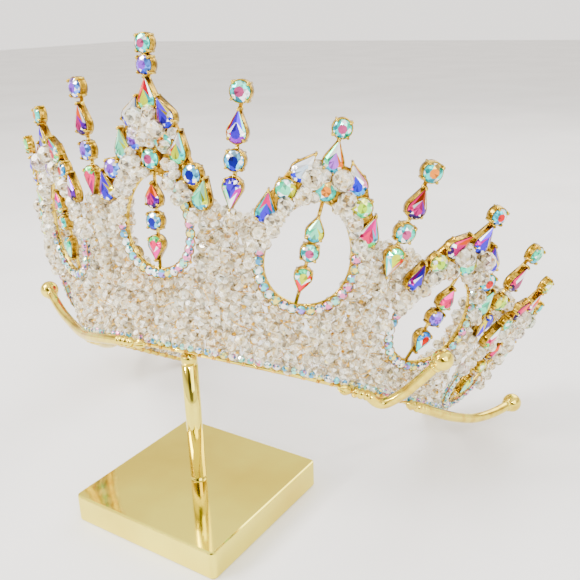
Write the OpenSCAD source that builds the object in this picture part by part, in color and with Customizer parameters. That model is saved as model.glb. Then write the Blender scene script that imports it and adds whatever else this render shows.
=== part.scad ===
// Pageant crown propped on the post of a small square display stand.
// The crown is a flared wall of wired crystal beads, open at the back, with seven
// pierced arches and eight spikes of set stones, and four ball-ended scrolls on the rim.
// Origin: centre of the underside of the stand's plate. +Z is up, the crown's front is -Y.

/* [Stand] */
// Side of the square plate
plate_side = 54; // [48:1:70]
// Thickness of the plate
plate_h = 9; // [6:0.5:14]
// Width of the bevel along the plate's top and bottom edges
plate_bevel = 0.6; // [0.2:0.1:1.5]
// Outer diameter of the post
post_d = 5; // [4:0.5:8]
// Height of the post above the plate
post_h = 42.6; // [38:0.2:48]
// Depth of the post's socket in the plate
socket_deep = 4; // [2:0.5:5]
// Wall of the post at its open top end
post_wall = 0.7; // [0.4:0.1:1]
// Depth of the open top end
post_open = 5; // [2:1:10]
// Width of the thin rings cut round the post
ring_cut = 0.4; // [0.2:0.1:0.8]
// Height of the lower ring above the plate
low_ring_up = 0.6; // [0.4:0.1:2]
// Distance of the upper ring below the post's top
high_ring_down = 3; // [2:0.5:6]

/* [Crown wall] */
// Radius of the wall's lower edge, at the middle of its thickness
rim_r = 65; // [60:1:76]
// How far the wall leans outward, in degrees
flare = 29; // [22:1:32]
// Half of the angle that the wall spans, from its front centre to a back end
half_span = 121; // [115:1:128]
// Height of the bead wall, measured up its slope
band_h = 46; // [42:1:50]
// Thickness of the bead wall
band_t = 3.6; // [3:0.2:5]
// Diameter of the gold bar under the wall
rim_bar_d = 1.6; // [1.2:0.2:2.4]
// Diameter of the feet at the two back ends of the bar
foot_d = 2.8; // [2.6:0.2:3.8]
// Turn of the crown on the stand, in degrees
crown_turn = 6; // [0:1:20]
// Angle from the front centre to the place where the rim rests on the post
prop_angle = 5.6; // [0:0.2:10]

/* [Tines] */
// Angle between neighbouring tines, in degrees
tine_step = 15; // [15:0.2:16]
// Height up the slope of the front arch's top stone
front_top = 86.5; // [84:0.5:90]
// Height up the slope of the first spike's top stone
side_top = 76.3; // [74:0.1:80]
// Fall from each tine to the next one towards the back
tine_fall = 4.2; // [3:0.2:4.6]
// Height up the slope of the front arch's opening, at its centre
front_open_at = 38.4; // [37:0.2:40]
// Distance from an arch opening's centre to its top stone
arch_rise = 35; // [33:0.5:37]
// Half width of a side arch's opening
open_w = 11.5; // [10:0.5:12]
// Half height of a side arch's opening
open_h = 14.8; // [13.8:0.2:16]
// Half width of the front arch's opening
front_open_w = 10; // [9:0.5:11]
// Half height of the front arch's opening
front_open_h = 13.4; // [13:0.2:14.4]
// How much an opening narrows towards its top and widens towards its foot, as a share
open_egg = 0.14; // [0:0.02:0.2]
// Width of the gold ring round an opening
ring_w = 1.6; // [1.2:0.1:2.2]
// Thickness of the gold castings behind the stones
cast_t = 1.2; // [0.8:0.1:1.6]
// Width of a spike's stem
stem_w = 1.8; // [1.4:0.1:2.4]

/* [Stones] */
// Diameter of a round stone
round_d = 5.4; // [4.6:0.2:5.6]
// Diameter of a small round stone, in the finials and the strings
small_round_d = 4.8; // [4.2:0.2:5.2]
// Length of a drop stone
drop_l = 8.6; // [7.6:0.2:9]
// Width of a drop stone
drop_w = 5.2; // [4.4:0.2:5.4]
// Length of a small drop stone, in the strings
small_drop_l = 6.8; // [6:0.2:7.4]
// Width of a small drop stone
small_drop_w = 4.6; // [4:0.2:5]
// Height of a stone from its back to its table
stone_h = 2.6; // [2:0.1:3.2]
// Wall of a stone's setting
set_wall = 0.3; // [0.25:0.05:0.4]
// Height of a setting above the casting
set_h = 1.2; // [0.8:0.1:1.4]
// Diameter of a prong
prong_d = 0.9; // [0.6:0.1:1.1]
// Height of a prong above its setting
prong_up = 0.9; // [0.6:0.1:1.1]
// Bare stem between the stones of a spike
spike_link = 1.2; // [0.6:0.1:1.4]

/* [Scrolls] */
// Diameter of a scroll's tube
scroll_d = 3.3; // [2.6:0.1:3.8]
// Diameter of the ball at a scroll's end
ball_d = 6.6; // [5.5:0.1:8]
// Length of the leaf at a scroll's start
leaf_l = 5; // [4:0.5:6]
// Length of the three knots after the leaf
knots_l = 6; // [5:0.5:7]
// How far the balls beside the front stand out from the wall's slope
front_ball_out = 9; // [7:0.5:12]
// How far the balls beside the front rise above the rim
front_ball_up = 12.5; // [10:0.5:16]
// How far the balls at the back ends stand out from the wall's slope
back_ball_out = 17; // [14:0.5:20]
// How far the balls at the back ends rise above the rim
back_ball_up = 8; // [7:0.5:12]

/* [Clearances] */
// Gap between pieces that are tied or set in place
tie_gap = 0.2; // [0.1:0.05:0.3]
// Gap between a stone and its setting
set_gap = 0.1; // [0.05:0.05:0.15]
// Radial clearance of the post in its socket
post_fit = 0.05; // [0.03:0.01:0.1]

/* [Hidden] */

// The bar lies under the wall's lower edge, on the line of the slope
bar_drop = rim_bar_d / 2 + tie_gap;
bar_r = rim_r - bar_drop * sin(flare);
bar_z = -bar_drop * cos(flare);

// The bar's front rests on the post and the two feet at its ends rest on the table,
// which sets how far the crown leans back
post_top = plate_h + post_h;
bar_front_z = post_top + tie_gap + rim_bar_d / 2;
lean = asin((bar_front_z - foot_d / 2) / (bar_r * (cos(prop_angle) - cos(half_span))));

// The wall stops short of the feet at the bar's ends
wall_span = half_span - (foot_d / 2 + tie_gap) / bar_r * 180 / PI;

// Castings lie in the planes that touch the wall's outer face
cast_z = band_t / 2 + tie_gap;
seat_z = cast_z + cast_t;

// Depth of a setting's pocket, and height of a stone's girdle above the stone's back
pocket = set_h + cast_t / 2;
girdle = pocket;

// A stone's cut: how far its back is smaller all round, the height of its girdle's edge,
// the table's size as a share of the outline, and how far a drop's table sits to its broad end
back_inset = 0.35;
girdle_h = 0.3;
table_share = 0.52;
drop_table_shift = 0.1;
round_facets = 10;
drop_facets = 8;
// A drop's tip moves this many times as far as its sides when the outline grows
tip_grow = 1.3;

// Sides of an opening's outline
open_sides = 28;

// Reach of a cutter that runs past both faces of what it cuts
past = 20;

// Tables of stones. Each row is one stone, or a left and right pair where side isn't 0:
// kind, side as a share of the opening's half width, height above the opening's centre
// as a share of its half height, and lean of the tip towards the centre in degrees
KIND = 0;
SIDE = 1;
UP = 2;
LEAN = 3;
string_rows = [
    ["small drop", 0, 0.50, 0],
    ["small round", 0, 0.05, 0],
    ["small drop", 0, -0.50, 180]];
front_string_rows = [
    ["small drop", 0, 0.58, 0],
    ["small round", 0, 0.04, 0],
    ["small drop", 0, -0.54, 180]];
arch_rows = [
    ["round", 0, 1.24, 0],
    ["round", 0.90, 1.10, 0],
    ["drop", 0.60, 1.56, 26],
    ["drop", 1.24, 0.70, -5]];
front_rows = [
    ["round", 0, 1.34, 0],
    ["drop", 0.52, 2.28, 24],
    ["round", 0.47, 1.71, 0],
    ["drop", 0.94, 1.60, -8],
    ["round", 1.34, 1.08, 0],
    ["drop", 1.63, 0.70, -15]];

// Outline of the plate behind an arch's stones: side and height as shares of the opening's
// half width and half height, the right half from the ring upward
FAN_SIDE = 0;
FAN_UP = 1;
arch_fan = [
    [1.02, 0.40], [1.44, 0.46], [1.36, 0.92],
    [1.12, 1.26], [0.86, 1.76], [0.28, 1.84]];
front_fan = [
    [1.02, 0.36], [1.84, 0.46], [1.78, 0.84], [1.50, 1.20],
    [1.14, 1.70], [0.80, 2.40], [0.28, 2.60]];

// Steps down a string of stones: from a round stone to a drop, along a spike or a finial
spike_step = (round_d + drop_l) / 2 + 2 * set_wall + set_gap + spike_link;
finial_step = (small_round_d + drop_l) / 2 + 2 * set_wall + set_gap;
round_step = small_round_d + 2 * set_wall + set_gap;

// Scrolls: angle of the leaf's tip, angle of the ball, the ball's distance out and its height
FROM = 0;
TO = 1;
OUT = 2;
RISE = 3;
scroll_front_left_row = [-6, -62, front_ball_out, front_ball_up];
scroll_front_right_row = [46, 62.5, front_ball_out, front_ball_up];
scroll_back_right_row = [68, 107, back_ball_out, back_ball_up];
scroll_back_left_row = [-68, -107, back_ball_out, back_ball_up];
// Paths of the tubes from the knots to the ball: share of the way round, share of the
// ball's distance out, and share of its rise
WAY = 0;
AWAY = 1;
LIFT = 2;
long_path = [
    [0, 0, -0.05],
    [0.30, 0, -0.09],
    [0.52, 0.03, -0.04],
    [0.72, 0.20, 0.17],
    [0.88, 0.56, 0.48],
    [1, 1, 1]];
short_path = [
    [0, 0, -0.08],
    [0.40, 0.02, -0.18],
    [0.70, 0.12, -0.16],
    [0.88, 0.36, 0.08],
    [0.97, 0.66, 0.48],
    [1, 1, 1]];
back_path = [
    [0, 0.04, -0.10],
    [0.25, 0.20, -0.14],
    [0.46, 0.38, -0.10],
    [0.66, 0.58, 0.04],
    [0.85, 0.80, 0.42],
    [1, 1, 1]];
scroll_sides = 12;
rings_per_row = 3;
// Overlap of a tube and its knots along the rim, in degrees
knot_overlap = 0.3;
// Profile of the leaf and the knots, as shares of the tube's diameter: tip, belly, neck, swell
leaf_tip = 0.12;
leaf_belly = 0.34;
knot_neck = 0.34;
knot_swell = 0.18;
knots = 3;
// Distance of a scroll's centre line from the wall's outer face, measured level
scroll_off = (band_t / 2 + tie_gap + scroll_d / 2) / cos(flare);

gold = "gold";
pale = "lavenderblush";
clear = "whitesmoke";

function tine_top(i) = i == 0 ? front_top : side_top - tine_fall * (abs(i) - 1);
function arch_at(i) = i == 0 ? front_open_at : tine_top(i) - arch_rise;
function half_w(i) = i == 0 ? front_open_w : open_w;
function half_h(i) = i == 0 ? front_open_h : open_h;

// An egg standing on its broad end, given by its half width and half height
function egg(w, h, narrow, n) = [for (k = [0 : n - 1])
    let (a = 360 * k / n) [w * cos(a) * (1 - narrow * sin(a)), h * sin(a)]];
function opening_of(i, m) = egg(half_w(i) + m, half_h(i) + m, open_egg, open_sides);

// A drop's outline, tip up, centred on its length, grown by m all round
function drop_outline(l, w, m) =
    let (r = w / 2 + m, low = (w - l) / 2, tip = l / 2 + tip_grow * m)
    let (open = acos(r / (tip - low)))
    concat(
        [[0, tip]],
        [for (k = [0 : drop_facets])
            let (a = 90 + open + k * (360 - 2 * open) / drop_facets)
            [r * cos(a), low + r * sin(a)]]);

function is_round(kind) = kind == "round" || kind == "small round";
function length_of(kind) =
    kind == "round" ? round_d :
    kind == "small round" ? small_round_d :
    kind == "drop" ? drop_l : small_drop_l;
function outline_of(kind, m) =
    is_round(kind) ? egg(length_of(kind) / 2 + m, length_of(kind) / 2 + m, 0, round_facets) :
    drop_outline(length_of(kind), kind == "drop" ? drop_w : small_drop_w, m);

// Puts its children on the wall's mid surface at an angle: X along the rim, Y up the
// slope from the rim, Z outward
module on_wall(angle) {
    rotate([0, 0, angle])
        translate([0, -rim_r, 0])
            rotate([90 + flare, 0, 0])
                children();
}

// Stands the crown on the post and the table
module on_stand() {
    translate([0, 0, bar_front_z])
        rotate([0, 0, crown_turn])
            rotate([-lean, 0, 0])
                translate([-bar_r * sin(prop_angle), bar_r * cos(prop_angle), -bar_z])
                    children();
}

// A cut stone with a flat back, a girdle, a ring of facets and a table
module cut_stone(kind) {
    low = outline_of(kind, -back_inset);
    rim = outline_of(kind, 0);
    n = len(rim);
    shift = is_round(kind) ? 0 : -drop_table_shift * length_of(kind);
    points = concat(
        [for (p = low) [p[0], p[1], 0]],
        [for (p = rim) [p[0], p[1], girdle - girdle_h]],
        [for (p = rim) [p[0], p[1], girdle]],
        [for (p = rim) [p[0] * table_share, p[1] * table_share + shift, stone_h]]);
    sides = [for (level = [0 : 2], k = [0 : n - 1])
        [(level + 1) * n + k, (level + 1) * n + (k + 1) % n, level * n + (k + 1) % n, level * n + k]];
    back = [for (k = [0 : n - 1]) k];
    table = [for (k = [n - 1 : -1 : 0]) 3 * n + k];
    polyhedron(points, concat(sides, [back, table]));
}

// A stone in its place above the casting's back
module seat_stone(kind) {
    translate([0, 0, seat_z + set_h - pocket + set_gap])
        cut_stone(kind);
}

// The solid of a setting, before its pocket is cut
module setting_body(kind) {
    translate([0, 0, cast_z])
        linear_extrude(height = cast_t + set_h)
            polygon(outline_of(kind, set_gap + set_wall));
    if (is_round(kind))
        for (a = [45 : 90 : 315])
            rotate([0, 0, a])
                translate([length_of(kind) / 2 + set_gap + prong_d / 2, 0, cast_z])
                    cylinder(d = prong_d, h = cast_t + set_h + prong_up, $fn = 16);
}

module setting_pocket(kind) {
    translate([0, 0, seat_z + set_h - pocket])
        linear_extrude(height = past)
            polygon(outline_of(kind, set_gap));
}

// Puts a child at each place of a table's row, mirrored for a pair
module at_row(row, i) {
    for (s = row[SIDE] == 0 ? [1] : [-1, 1])
        translate([s * row[SIDE] * half_w(i), row[UP] * half_h(i), 0])
            rotate([0, 0, s * row[LEAN]])
                children();
}

// Stones above an arch's fan, from the opening's centre
module finial_places(i, kind) {
    top = tine_top(i) - arch_at(i);
    rounds = i == 0 ? 2 : 1;
    if (is_round(kind))
        for (k = [0 : rounds - 1])
            translate([0, top - k * round_step, 0])
                children();
    if (!is_round(kind))
        translate([0, top - (rounds - 1) * round_step - finial_step, 0])
            children();
}

function rows_of(i) = i == 0 ? concat(front_rows, front_string_rows) : concat(arch_rows, string_rows);

// Half of a fan's outline, on the side given by s
function fan_half(fan, i, s) = [for (p = fan) [s * p[FAN_SIDE] * half_w(i), p[FAN_UP] * half_h(i)]];
function backward(v) = [for (k = [len(v) - 1 : -1 : 0]) v[k]];

// Gold casting of arch i, in the opening's own frame
module arch_casting(i) {
    top = tine_top(i) - arch_at(i);
    rows = rows_of(i);
    fan = i == 0 ? front_fan : arch_fan;
    difference() {
        union() {
            translate([0, 0, cast_z])
                linear_extrude(height = cast_t) {
                    difference() {
                        union() {
                            polygon(opening_of(i, ring_w));
                            polygon(concat(fan_half(fan, i, 1), backward(fan_half(fan, i, -1))));
                        }
                        polygon(opening_of(i, 0));
                    }
                    translate([-stem_w / 2, half_h(i)])
                        square([stem_w, top - half_h(i)]);
                    translate([-stem_w / 2, -half_h(i) - ring_w / 2])
                        square([stem_w, 2 * half_h(i) + ring_w]);
                }
            for (row = rows)
                at_row(row, i)
                    setting_body(row[KIND]);
            for (kind = ["small round", "drop"])
                finial_places(i, kind)
                    setting_body(kind);
        }
        for (row = rows)
            at_row(row, i)
                setting_pocket(row[KIND]);
        for (kind = ["small round", "drop"])
            finial_places(i, kind)
                setting_pocket(kind);
    }
}

module arch_stones(i) {
    for (row = rows_of(i))
        at_row(row, i)
            seat_stone(row[KIND]);
    for (kind = ["small round", "drop"])
        finial_places(i, kind)
            seat_stone(kind);
}

// Places of a spike's stones, down from its top stone
module spike_places(kind) {
    if (kind == "round")
        for (y = [0, -2 * spike_step])
            translate([0, y, 0])
                children();
    if (kind == "drop") {
        translate([0, -spike_step, 0])
            children();
        translate([0, -3 * spike_step, 0])
            rotate([0, 0, 180])
                children();
    }
}

module spike_casting(i) {
    foot = tine_top(i) - band_h / 2;
    difference() {
        union() {
            translate([-stem_w / 2, -foot, cast_z])
                cube([stem_w, foot, cast_t]);
            for (kind = ["round", "drop"])
                spike_places(kind)
                    setting_body(kind);
        }
        for (kind = ["round", "drop"])
            spike_places(kind)
                setting_pocket(kind);
    }
}

module spike_stones() {
    for (kind = ["round", "drop"])
        spike_places(kind)
            seat_stone(kind);
}

module arch(i) {
    color(gold)
        on_stand()
            on_wall(i * tine_step)
                translate([0, arch_at(i), 0])
                    arch_casting(i);
}

module stones_of_arch(i) {
    color(pale)
        on_stand()
            on_wall(i * tine_step)
                translate([0, arch_at(i), 0])
                    arch_stones(i);
}

module spike(i) {
    color(gold)
        on_stand()
            on_wall(i * tine_step)
                translate([0, tine_top(i), 0])
                    spike_casting(i);
}

module stones_of_spike(i) {
    color(pale)
        on_stand()
            on_wall(i * tine_step)
                translate([0, tine_top(i), 0])
                    spike_stones();
}

// Wall of wired beads: a flared shell, pierced by the arches' openings
module bead_wall() {
    color(clear)
        on_stand()
            difference() {
                rotate([0, 0, -90 - wall_span])
                    rotate_extrude(angle = 2 * wall_span, $fn = 96)
                        translate([rim_r, 0])
                            rotate([0, 0, -flare])
                                translate([-band_t / 2, 0])
                                    square([band_t, band_h]);
                for (i = [-6 : 2 : 6])
                    on_wall(i * tine_step)
                        translate([0, arch_at(i), -past / 2])
                            linear_extrude(height = past)
                                polygon(opening_of(i, 0));
            }
}

// Gold bar under the wall, with a round foot at each back end
module rim_bar() {
    color(gold)
        on_stand() {
            rotate([0, 0, -90 - half_span])
                rotate_extrude(angle = 2 * half_span, $fn = 96)
                    translate([bar_r, bar_z])
                        circle(d = rim_bar_d, $fn = 24);
            for (s = [-1, 1])
                rotate([0, 0, s * half_span])
                    translate([0, -bar_r, bar_z])
                        sphere(d = foot_d, $fn = 32);
        }
}

// Point of a scroll's centre line from a row of its path's table
function scroll_point(row, part, from) =
    let (angle = from + (row[TO] - from) * part[WAY])
    let (z = bar_z + (row[RISE] - bar_z) * part[LIFT])
    let (r = rim_r + scroll_off + z * tan(flare) + row[OUT] * part[AWAY])
    [r * sin(angle), -r * cos(angle), z];

// Smooth curve through the rows of a path's table, at row k plus a share t
function between(a, b, c, d, t) =
    b + 0.5 * ((c - a) * t
        + (2 * a - 5 * b + 4 * c - d) * pow(t, 2)
        + (3 * b - a - 3 * c + d) * pow(t, 3));
function path_at(path, k, t) =
    let (last = len(path) - 1)
    between(path[max(k - 1, 0)], path[k], path[min(k + 1, last)], path[min(k + 2, last)], t);

// Turned leaf and knots, along Z from the leaf's tip
module leaf_and_knots() {
    rotate_extrude($fn = 32)
        polygon(concat(
            [[0, 0]],
            [for (k = [0 : 8])
                let (s = k / 8)
                [scroll_d * (leaf_tip + leaf_belly * sin(180 * s)), leaf_l * s]],
            [for (k = [1 : 15])
                let (s = k / 15)
                [scroll_d * (knot_neck + knot_swell * abs(sin(180 * knots * s))), leaf_l + knots_l * s]],
            [[0, leaf_l + knots_l]]));
}

module scroll(row, path) {
    way = sign(row[TO] - row[FROM]);
    reach = (leaf_l + knots_l) * 180 / (PI * (rim_r + scroll_off));
    start = row[FROM] + way * (reach - knot_overlap);
    steps = [for (k = [0 : len(path) - 2], j = [0 : rings_per_row - 1]) [k, j / rings_per_row]];
    line = concat(
        [for (q = steps) scroll_point(row, path_at(path, q[0], q[1]), start)],
        [scroll_point(row, path[len(path) - 1], start)]);
    last = len(line) - 1;
    n = scroll_sides;
    points = [for (j = [0 : last])
        let (along = line[min(j + 1, last)] - line[max(j - 1, 0)])
        let (side = cross(along, [0, 0, 1]) / norm(cross(along, [0, 0, 1])))
        let (up = cross(side, along) / norm(along))
        for (k = [0 : n - 1])
            line[j] + scroll_d / 2 * (cos(360 * k / n) * side + sin(360 * k / n) * up)];
    sides = [for (j = [0 : last - 1], k = [0 : n - 1])
        [j * n + k, j * n + (k + 1) % n, (j + 1) * n + (k + 1) % n, (j + 1) * n + k]];
    caps = [[for (k = [n - 1 : -1 : 0]) k], [for (k = [0 : n - 1]) last * n + k]];
    first = scroll_point(row, path[0], start);
    color(gold)
        on_stand() {
            polyhedron(points, concat(sides, caps));
            translate(line[last])
                sphere(d = ball_d, $fn = 32);
            rotate([0, 0, start - way * reach / 2])
                translate([0, -norm([first[0], first[1]]), first[2]])
                    rotate([0, way * 90, 0])
                        translate([0, 0, -(leaf_l + knots_l) / 2])
                            leaf_and_knots();
        }
}

module stand_plate() {
    color(gold)
        difference() {
            union() {
                translate([-plate_side / 2, -plate_side / 2, plate_bevel])
                    cube([plate_side, plate_side, plate_h - 2 * plate_bevel]);
                for (z = [0, plate_h - plate_bevel])
                    translate([plate_bevel - plate_side / 2, plate_bevel - plate_side / 2, z])
                        cube([plate_side - 2 * plate_bevel, plate_side - 2 * plate_bevel, plate_bevel]);
            }
            translate([0, 0, plate_h - socket_deep])
                cylinder(d = post_d + 2 * post_fit, h = plate_h, $fn = 48);
        }
}

module stand_post() {
    color(gold)
        difference() {
            translate([0, 0, plate_h - socket_deep])
                cylinder(d = post_d, h = post_h + socket_deep, $fn = 48);
            translate([0, 0, post_top - post_open])
                cylinder(d = post_d - 2 * post_wall, h = 2 * post_open, $fn = 48);
            for (z = [plate_h + low_ring_up, post_top - high_ring_down])
                translate([0, 0, z])
                    difference() {
                        cylinder(d = 2 * post_d, h = ring_cut, $fn = 48);
                        translate([0, 0, -past / 2])
                            cylinder(d = post_d - ring_cut, h = past, $fn = 48);
                    }
        }
}

stand_plate();
stand_post();
bead_wall();
rim_bar();
arch(0);  // front_arch
stones_of_arch(0);  // front_arch_stones
for (k = [1 : 3]) {
    arch(2 * k);
    arch(-2 * k);
    stones_of_arch(2 * k);
    stones_of_arch(-2 * k);
}
for (k = [1 : 4]) {
    spike(2 * k - 1);
    spike(1 - 2 * k);
    stones_of_spike(2 * k - 1);
    stones_of_spike(1 - 2 * k);
}
scroll(scroll_front_left_row, long_path);  // scroll_front_left
scroll(scroll_front_right_row, short_path);  // scroll_front_right
scroll(scroll_back_left_row, back_path);  // scroll_back_left
scroll(scroll_back_right_row, back_path);  // scroll_back_right
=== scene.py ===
"""Looks of a pageant crown propped on the post of a small square display stand.

Sizes are named in millimetres, as on the maker's bench, and turned into metres when a mesh is built.
"""

import logging
import math
import random
from dataclasses import dataclass
from enum import Enum
from typing import ClassVar, Optional, Sequence, Union

import bpy
from mathutils import Matrix, Vector


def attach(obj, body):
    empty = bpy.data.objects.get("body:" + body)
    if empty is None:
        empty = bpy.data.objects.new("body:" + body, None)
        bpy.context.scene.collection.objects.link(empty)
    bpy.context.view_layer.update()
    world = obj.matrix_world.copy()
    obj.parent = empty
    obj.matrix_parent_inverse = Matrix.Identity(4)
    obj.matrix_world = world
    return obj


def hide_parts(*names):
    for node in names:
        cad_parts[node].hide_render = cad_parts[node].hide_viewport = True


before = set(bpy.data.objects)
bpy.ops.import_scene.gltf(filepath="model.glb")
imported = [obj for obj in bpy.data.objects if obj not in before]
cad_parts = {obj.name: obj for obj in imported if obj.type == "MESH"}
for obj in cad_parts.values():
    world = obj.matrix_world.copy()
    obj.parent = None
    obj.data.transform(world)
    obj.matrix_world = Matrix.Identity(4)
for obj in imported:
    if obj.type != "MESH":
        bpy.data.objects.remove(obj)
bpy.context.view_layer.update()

log = logging.getLogger("pageant_crown")
MM = 0.001
BODY = "root"
Point2 = tuple[float, float]
Point3 = tuple[float, float, float]
Colour = Point3
Stops = tuple[tuple[float, int], ...]
Bed = tuple[list[Vector], list[tuple[int, ...]]]


def colour(code: int) -> Colour:
    """Turns a 0xRRGGBB code into linear colour.

    Args:
        code: The colour as a display shows it.

    Returns:
        Red, green and blue from 0 to 1, linear.
    """
    parts = [(code >> shift & 255) / 255 for shift in (16, 8, 0)]
    return tuple(p / 12.92 if p < 0.04045 else ((p + 0.055) / 1.055) ** 2.4 for p in parts)


# Sizes that the whole crown shares


@dataclass(frozen=True)
class CrownFrame:
    """Sizes of the crown and the places of its parts on the stand, in millimetres and degrees."""

    plate_h: float = 9.0
    post_h: float = 42.6
    rim_r: float = 65.0
    flare: float = 29.0
    half_span: float = 121.0
    band_h: float = 46.0
    band_t: float = 3.6
    rim_bar_d: float = 1.6
    foot_d: float = 2.8
    crown_turn: float = 6.0
    prop_angle: float = 5.6
    tie_gap: float = 0.2
    tine_step: float = 15.0
    front_top: float = 86.5
    side_top: float = 76.3
    tine_fall: float = 4.2
    front_open_at: float = 38.4
    arch_rise: float = 35.0
    cast_t: float = 1.2

    @property
    def bar_r(self) -> float:
        """Radius of the rim bar's centre line."""
        return self.rim_r - self.bar_drop * math.sin(math.radians(self.flare))

    @property
    def bar_drop(self) -> float:
        """Distance of the rim bar below the wall, down the slope."""
        return self.rim_bar_d / 2 + self.tie_gap

    @property
    def bar_z(self) -> float:
        """Height of the rim bar's centre line in the crown's own frame."""
        return -self.bar_drop * math.cos(math.radians(self.flare))

    @property
    def post_top(self) -> float:
        """Height of the post's open end."""
        return self.plate_h + self.post_h

    @property
    def cast_z(self) -> float:
        """Distance of a casting's back from the wall's mid surface."""
        return self.band_t / 2 + self.tie_gap

    def on_stand(self) -> Matrix:
        """Place of the crown, leaning back from the post with both feet on the table."""
        front_z = self.post_top + self.tie_gap + self.rim_bar_d / 2
        prop = math.radians(self.prop_angle)
        reach = math.cos(prop) - math.cos(math.radians(self.half_span))
        lean = math.asin((front_z - self.foot_d / 2) / (self.bar_r * reach))
        rest = Vector((-self.bar_r * math.sin(prop), self.bar_r * math.cos(prop), -self.bar_z))
        return (
            Matrix.Translation((0, 0, front_z))
            @ Matrix.Rotation(math.radians(self.crown_turn), 4, "Z")
            @ Matrix.Rotation(-lean, 4, "X")
            @ Matrix.Translation(rest)
        )

    def on_wall(self, angle: float) -> Matrix:
        """Place on the wall's mid surface.

        Args:
            angle: Degrees round the crown from its front.

        Returns:
            A frame with X along the rim, Y up the slope and Z outward.
        """
        turn = Matrix.Rotation(math.radians(angle), 4, "Z")
        tilt = Matrix.Rotation(math.radians(90 + self.flare), 4, "X")
        return self.on_stand() @ turn @ Matrix.Translation((0, -self.rim_r, 0)) @ tilt

    def tine_top(self, tine: int) -> float:
        """Height up the slope of a tine's top stone."""
        return self.front_top if tine == 0 else self.side_top - self.tine_fall * (abs(tine) - 1)

    def arch_at(self, tine: int) -> float:
        """Height up the slope of an arch opening's centre."""
        return self.front_open_at if tine == 0 else self.tine_top(tine) - self.arch_rise

    def arch_place(self, tine: int) -> Matrix:
        """Frame of an arch, at its opening's centre."""
        return self.on_wall(tine * self.tine_step) @ Matrix.Translation((0, self.arch_at(tine), 0))

    def spike_place(self, tine: int) -> Matrix:
        """Frame of a spike, at its top stone."""
        return self.on_wall(tine * self.tine_step) @ Matrix.Translation((0, self.tine_top(tine), 0))


CROWN = CrownFrame()
# Tones that multiply the cast gold: the first leaves it as it is, the other three are painted shade that
# darkens claws, cups and recessed parts.
BRIGHT: Colour = (1.0, 1.0, 1.0)
CLAW_SHADE: Colour = (0.8, 0.74, 0.5)
CUP_SHADE: Colour = (0.66, 0.56, 0.3)
RECESS_SHADE: Colour = (0.5, 0.38, 0.17)


def egg(
    w: float,
    h: float,
    narrow: float,
    count: int,
    start: float = 0.0,
    end: float = 360.0,
) -> list[Point2]:
    """Outline of an egg that stands on its broad end.

    Args:
        w: Half width.
        h: Half height.
        narrow: Share by which the top narrows and the foot widens.
        count: Number of points.
        start: Angle of the first point in degrees.
        end: Angle just past the last point in degrees.

    Returns:
        The points, anticlockwise.
    """
    points = []
    for k in range(count):
        a = math.radians(start + (end - start) * k / count)
        points.append((w * math.cos(a) * (1 - narrow * math.sin(a)), h * math.sin(a)))
    return points


def circle(count: int, shift: float = 0.0) -> list[Point2]:
    """Points of a unit circle, anticlockwise, turned by a share of their step."""
    turns = [2 * math.pi * (k + shift) / count for k in range(count)]
    return [(math.cos(a), math.sin(a)) for a in turns]


def belt(low: int, high: int, count: int) -> list[tuple[int, ...]]:
    """Faces between two rings of points, given by the number of each ring's first point."""
    return [(low + k, low + (k + 1) % count, high + (k + 1) % count, high + k) for k in range(count)]


def inside(outline: Sequence[Point2], x: float, y: float) -> bool:
    """Tells whether a point lies within an outline."""
    hit = False
    for (ax, ay), (bx, by) in zip(outline, list(outline[1:]) + [outline[0]]):
        if (ay > y) != (by > y) and x < (bx - ax) * (y - ay) / (by - ay) + ax:
            hit = not hit
    return hit


# Mesh making


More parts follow.
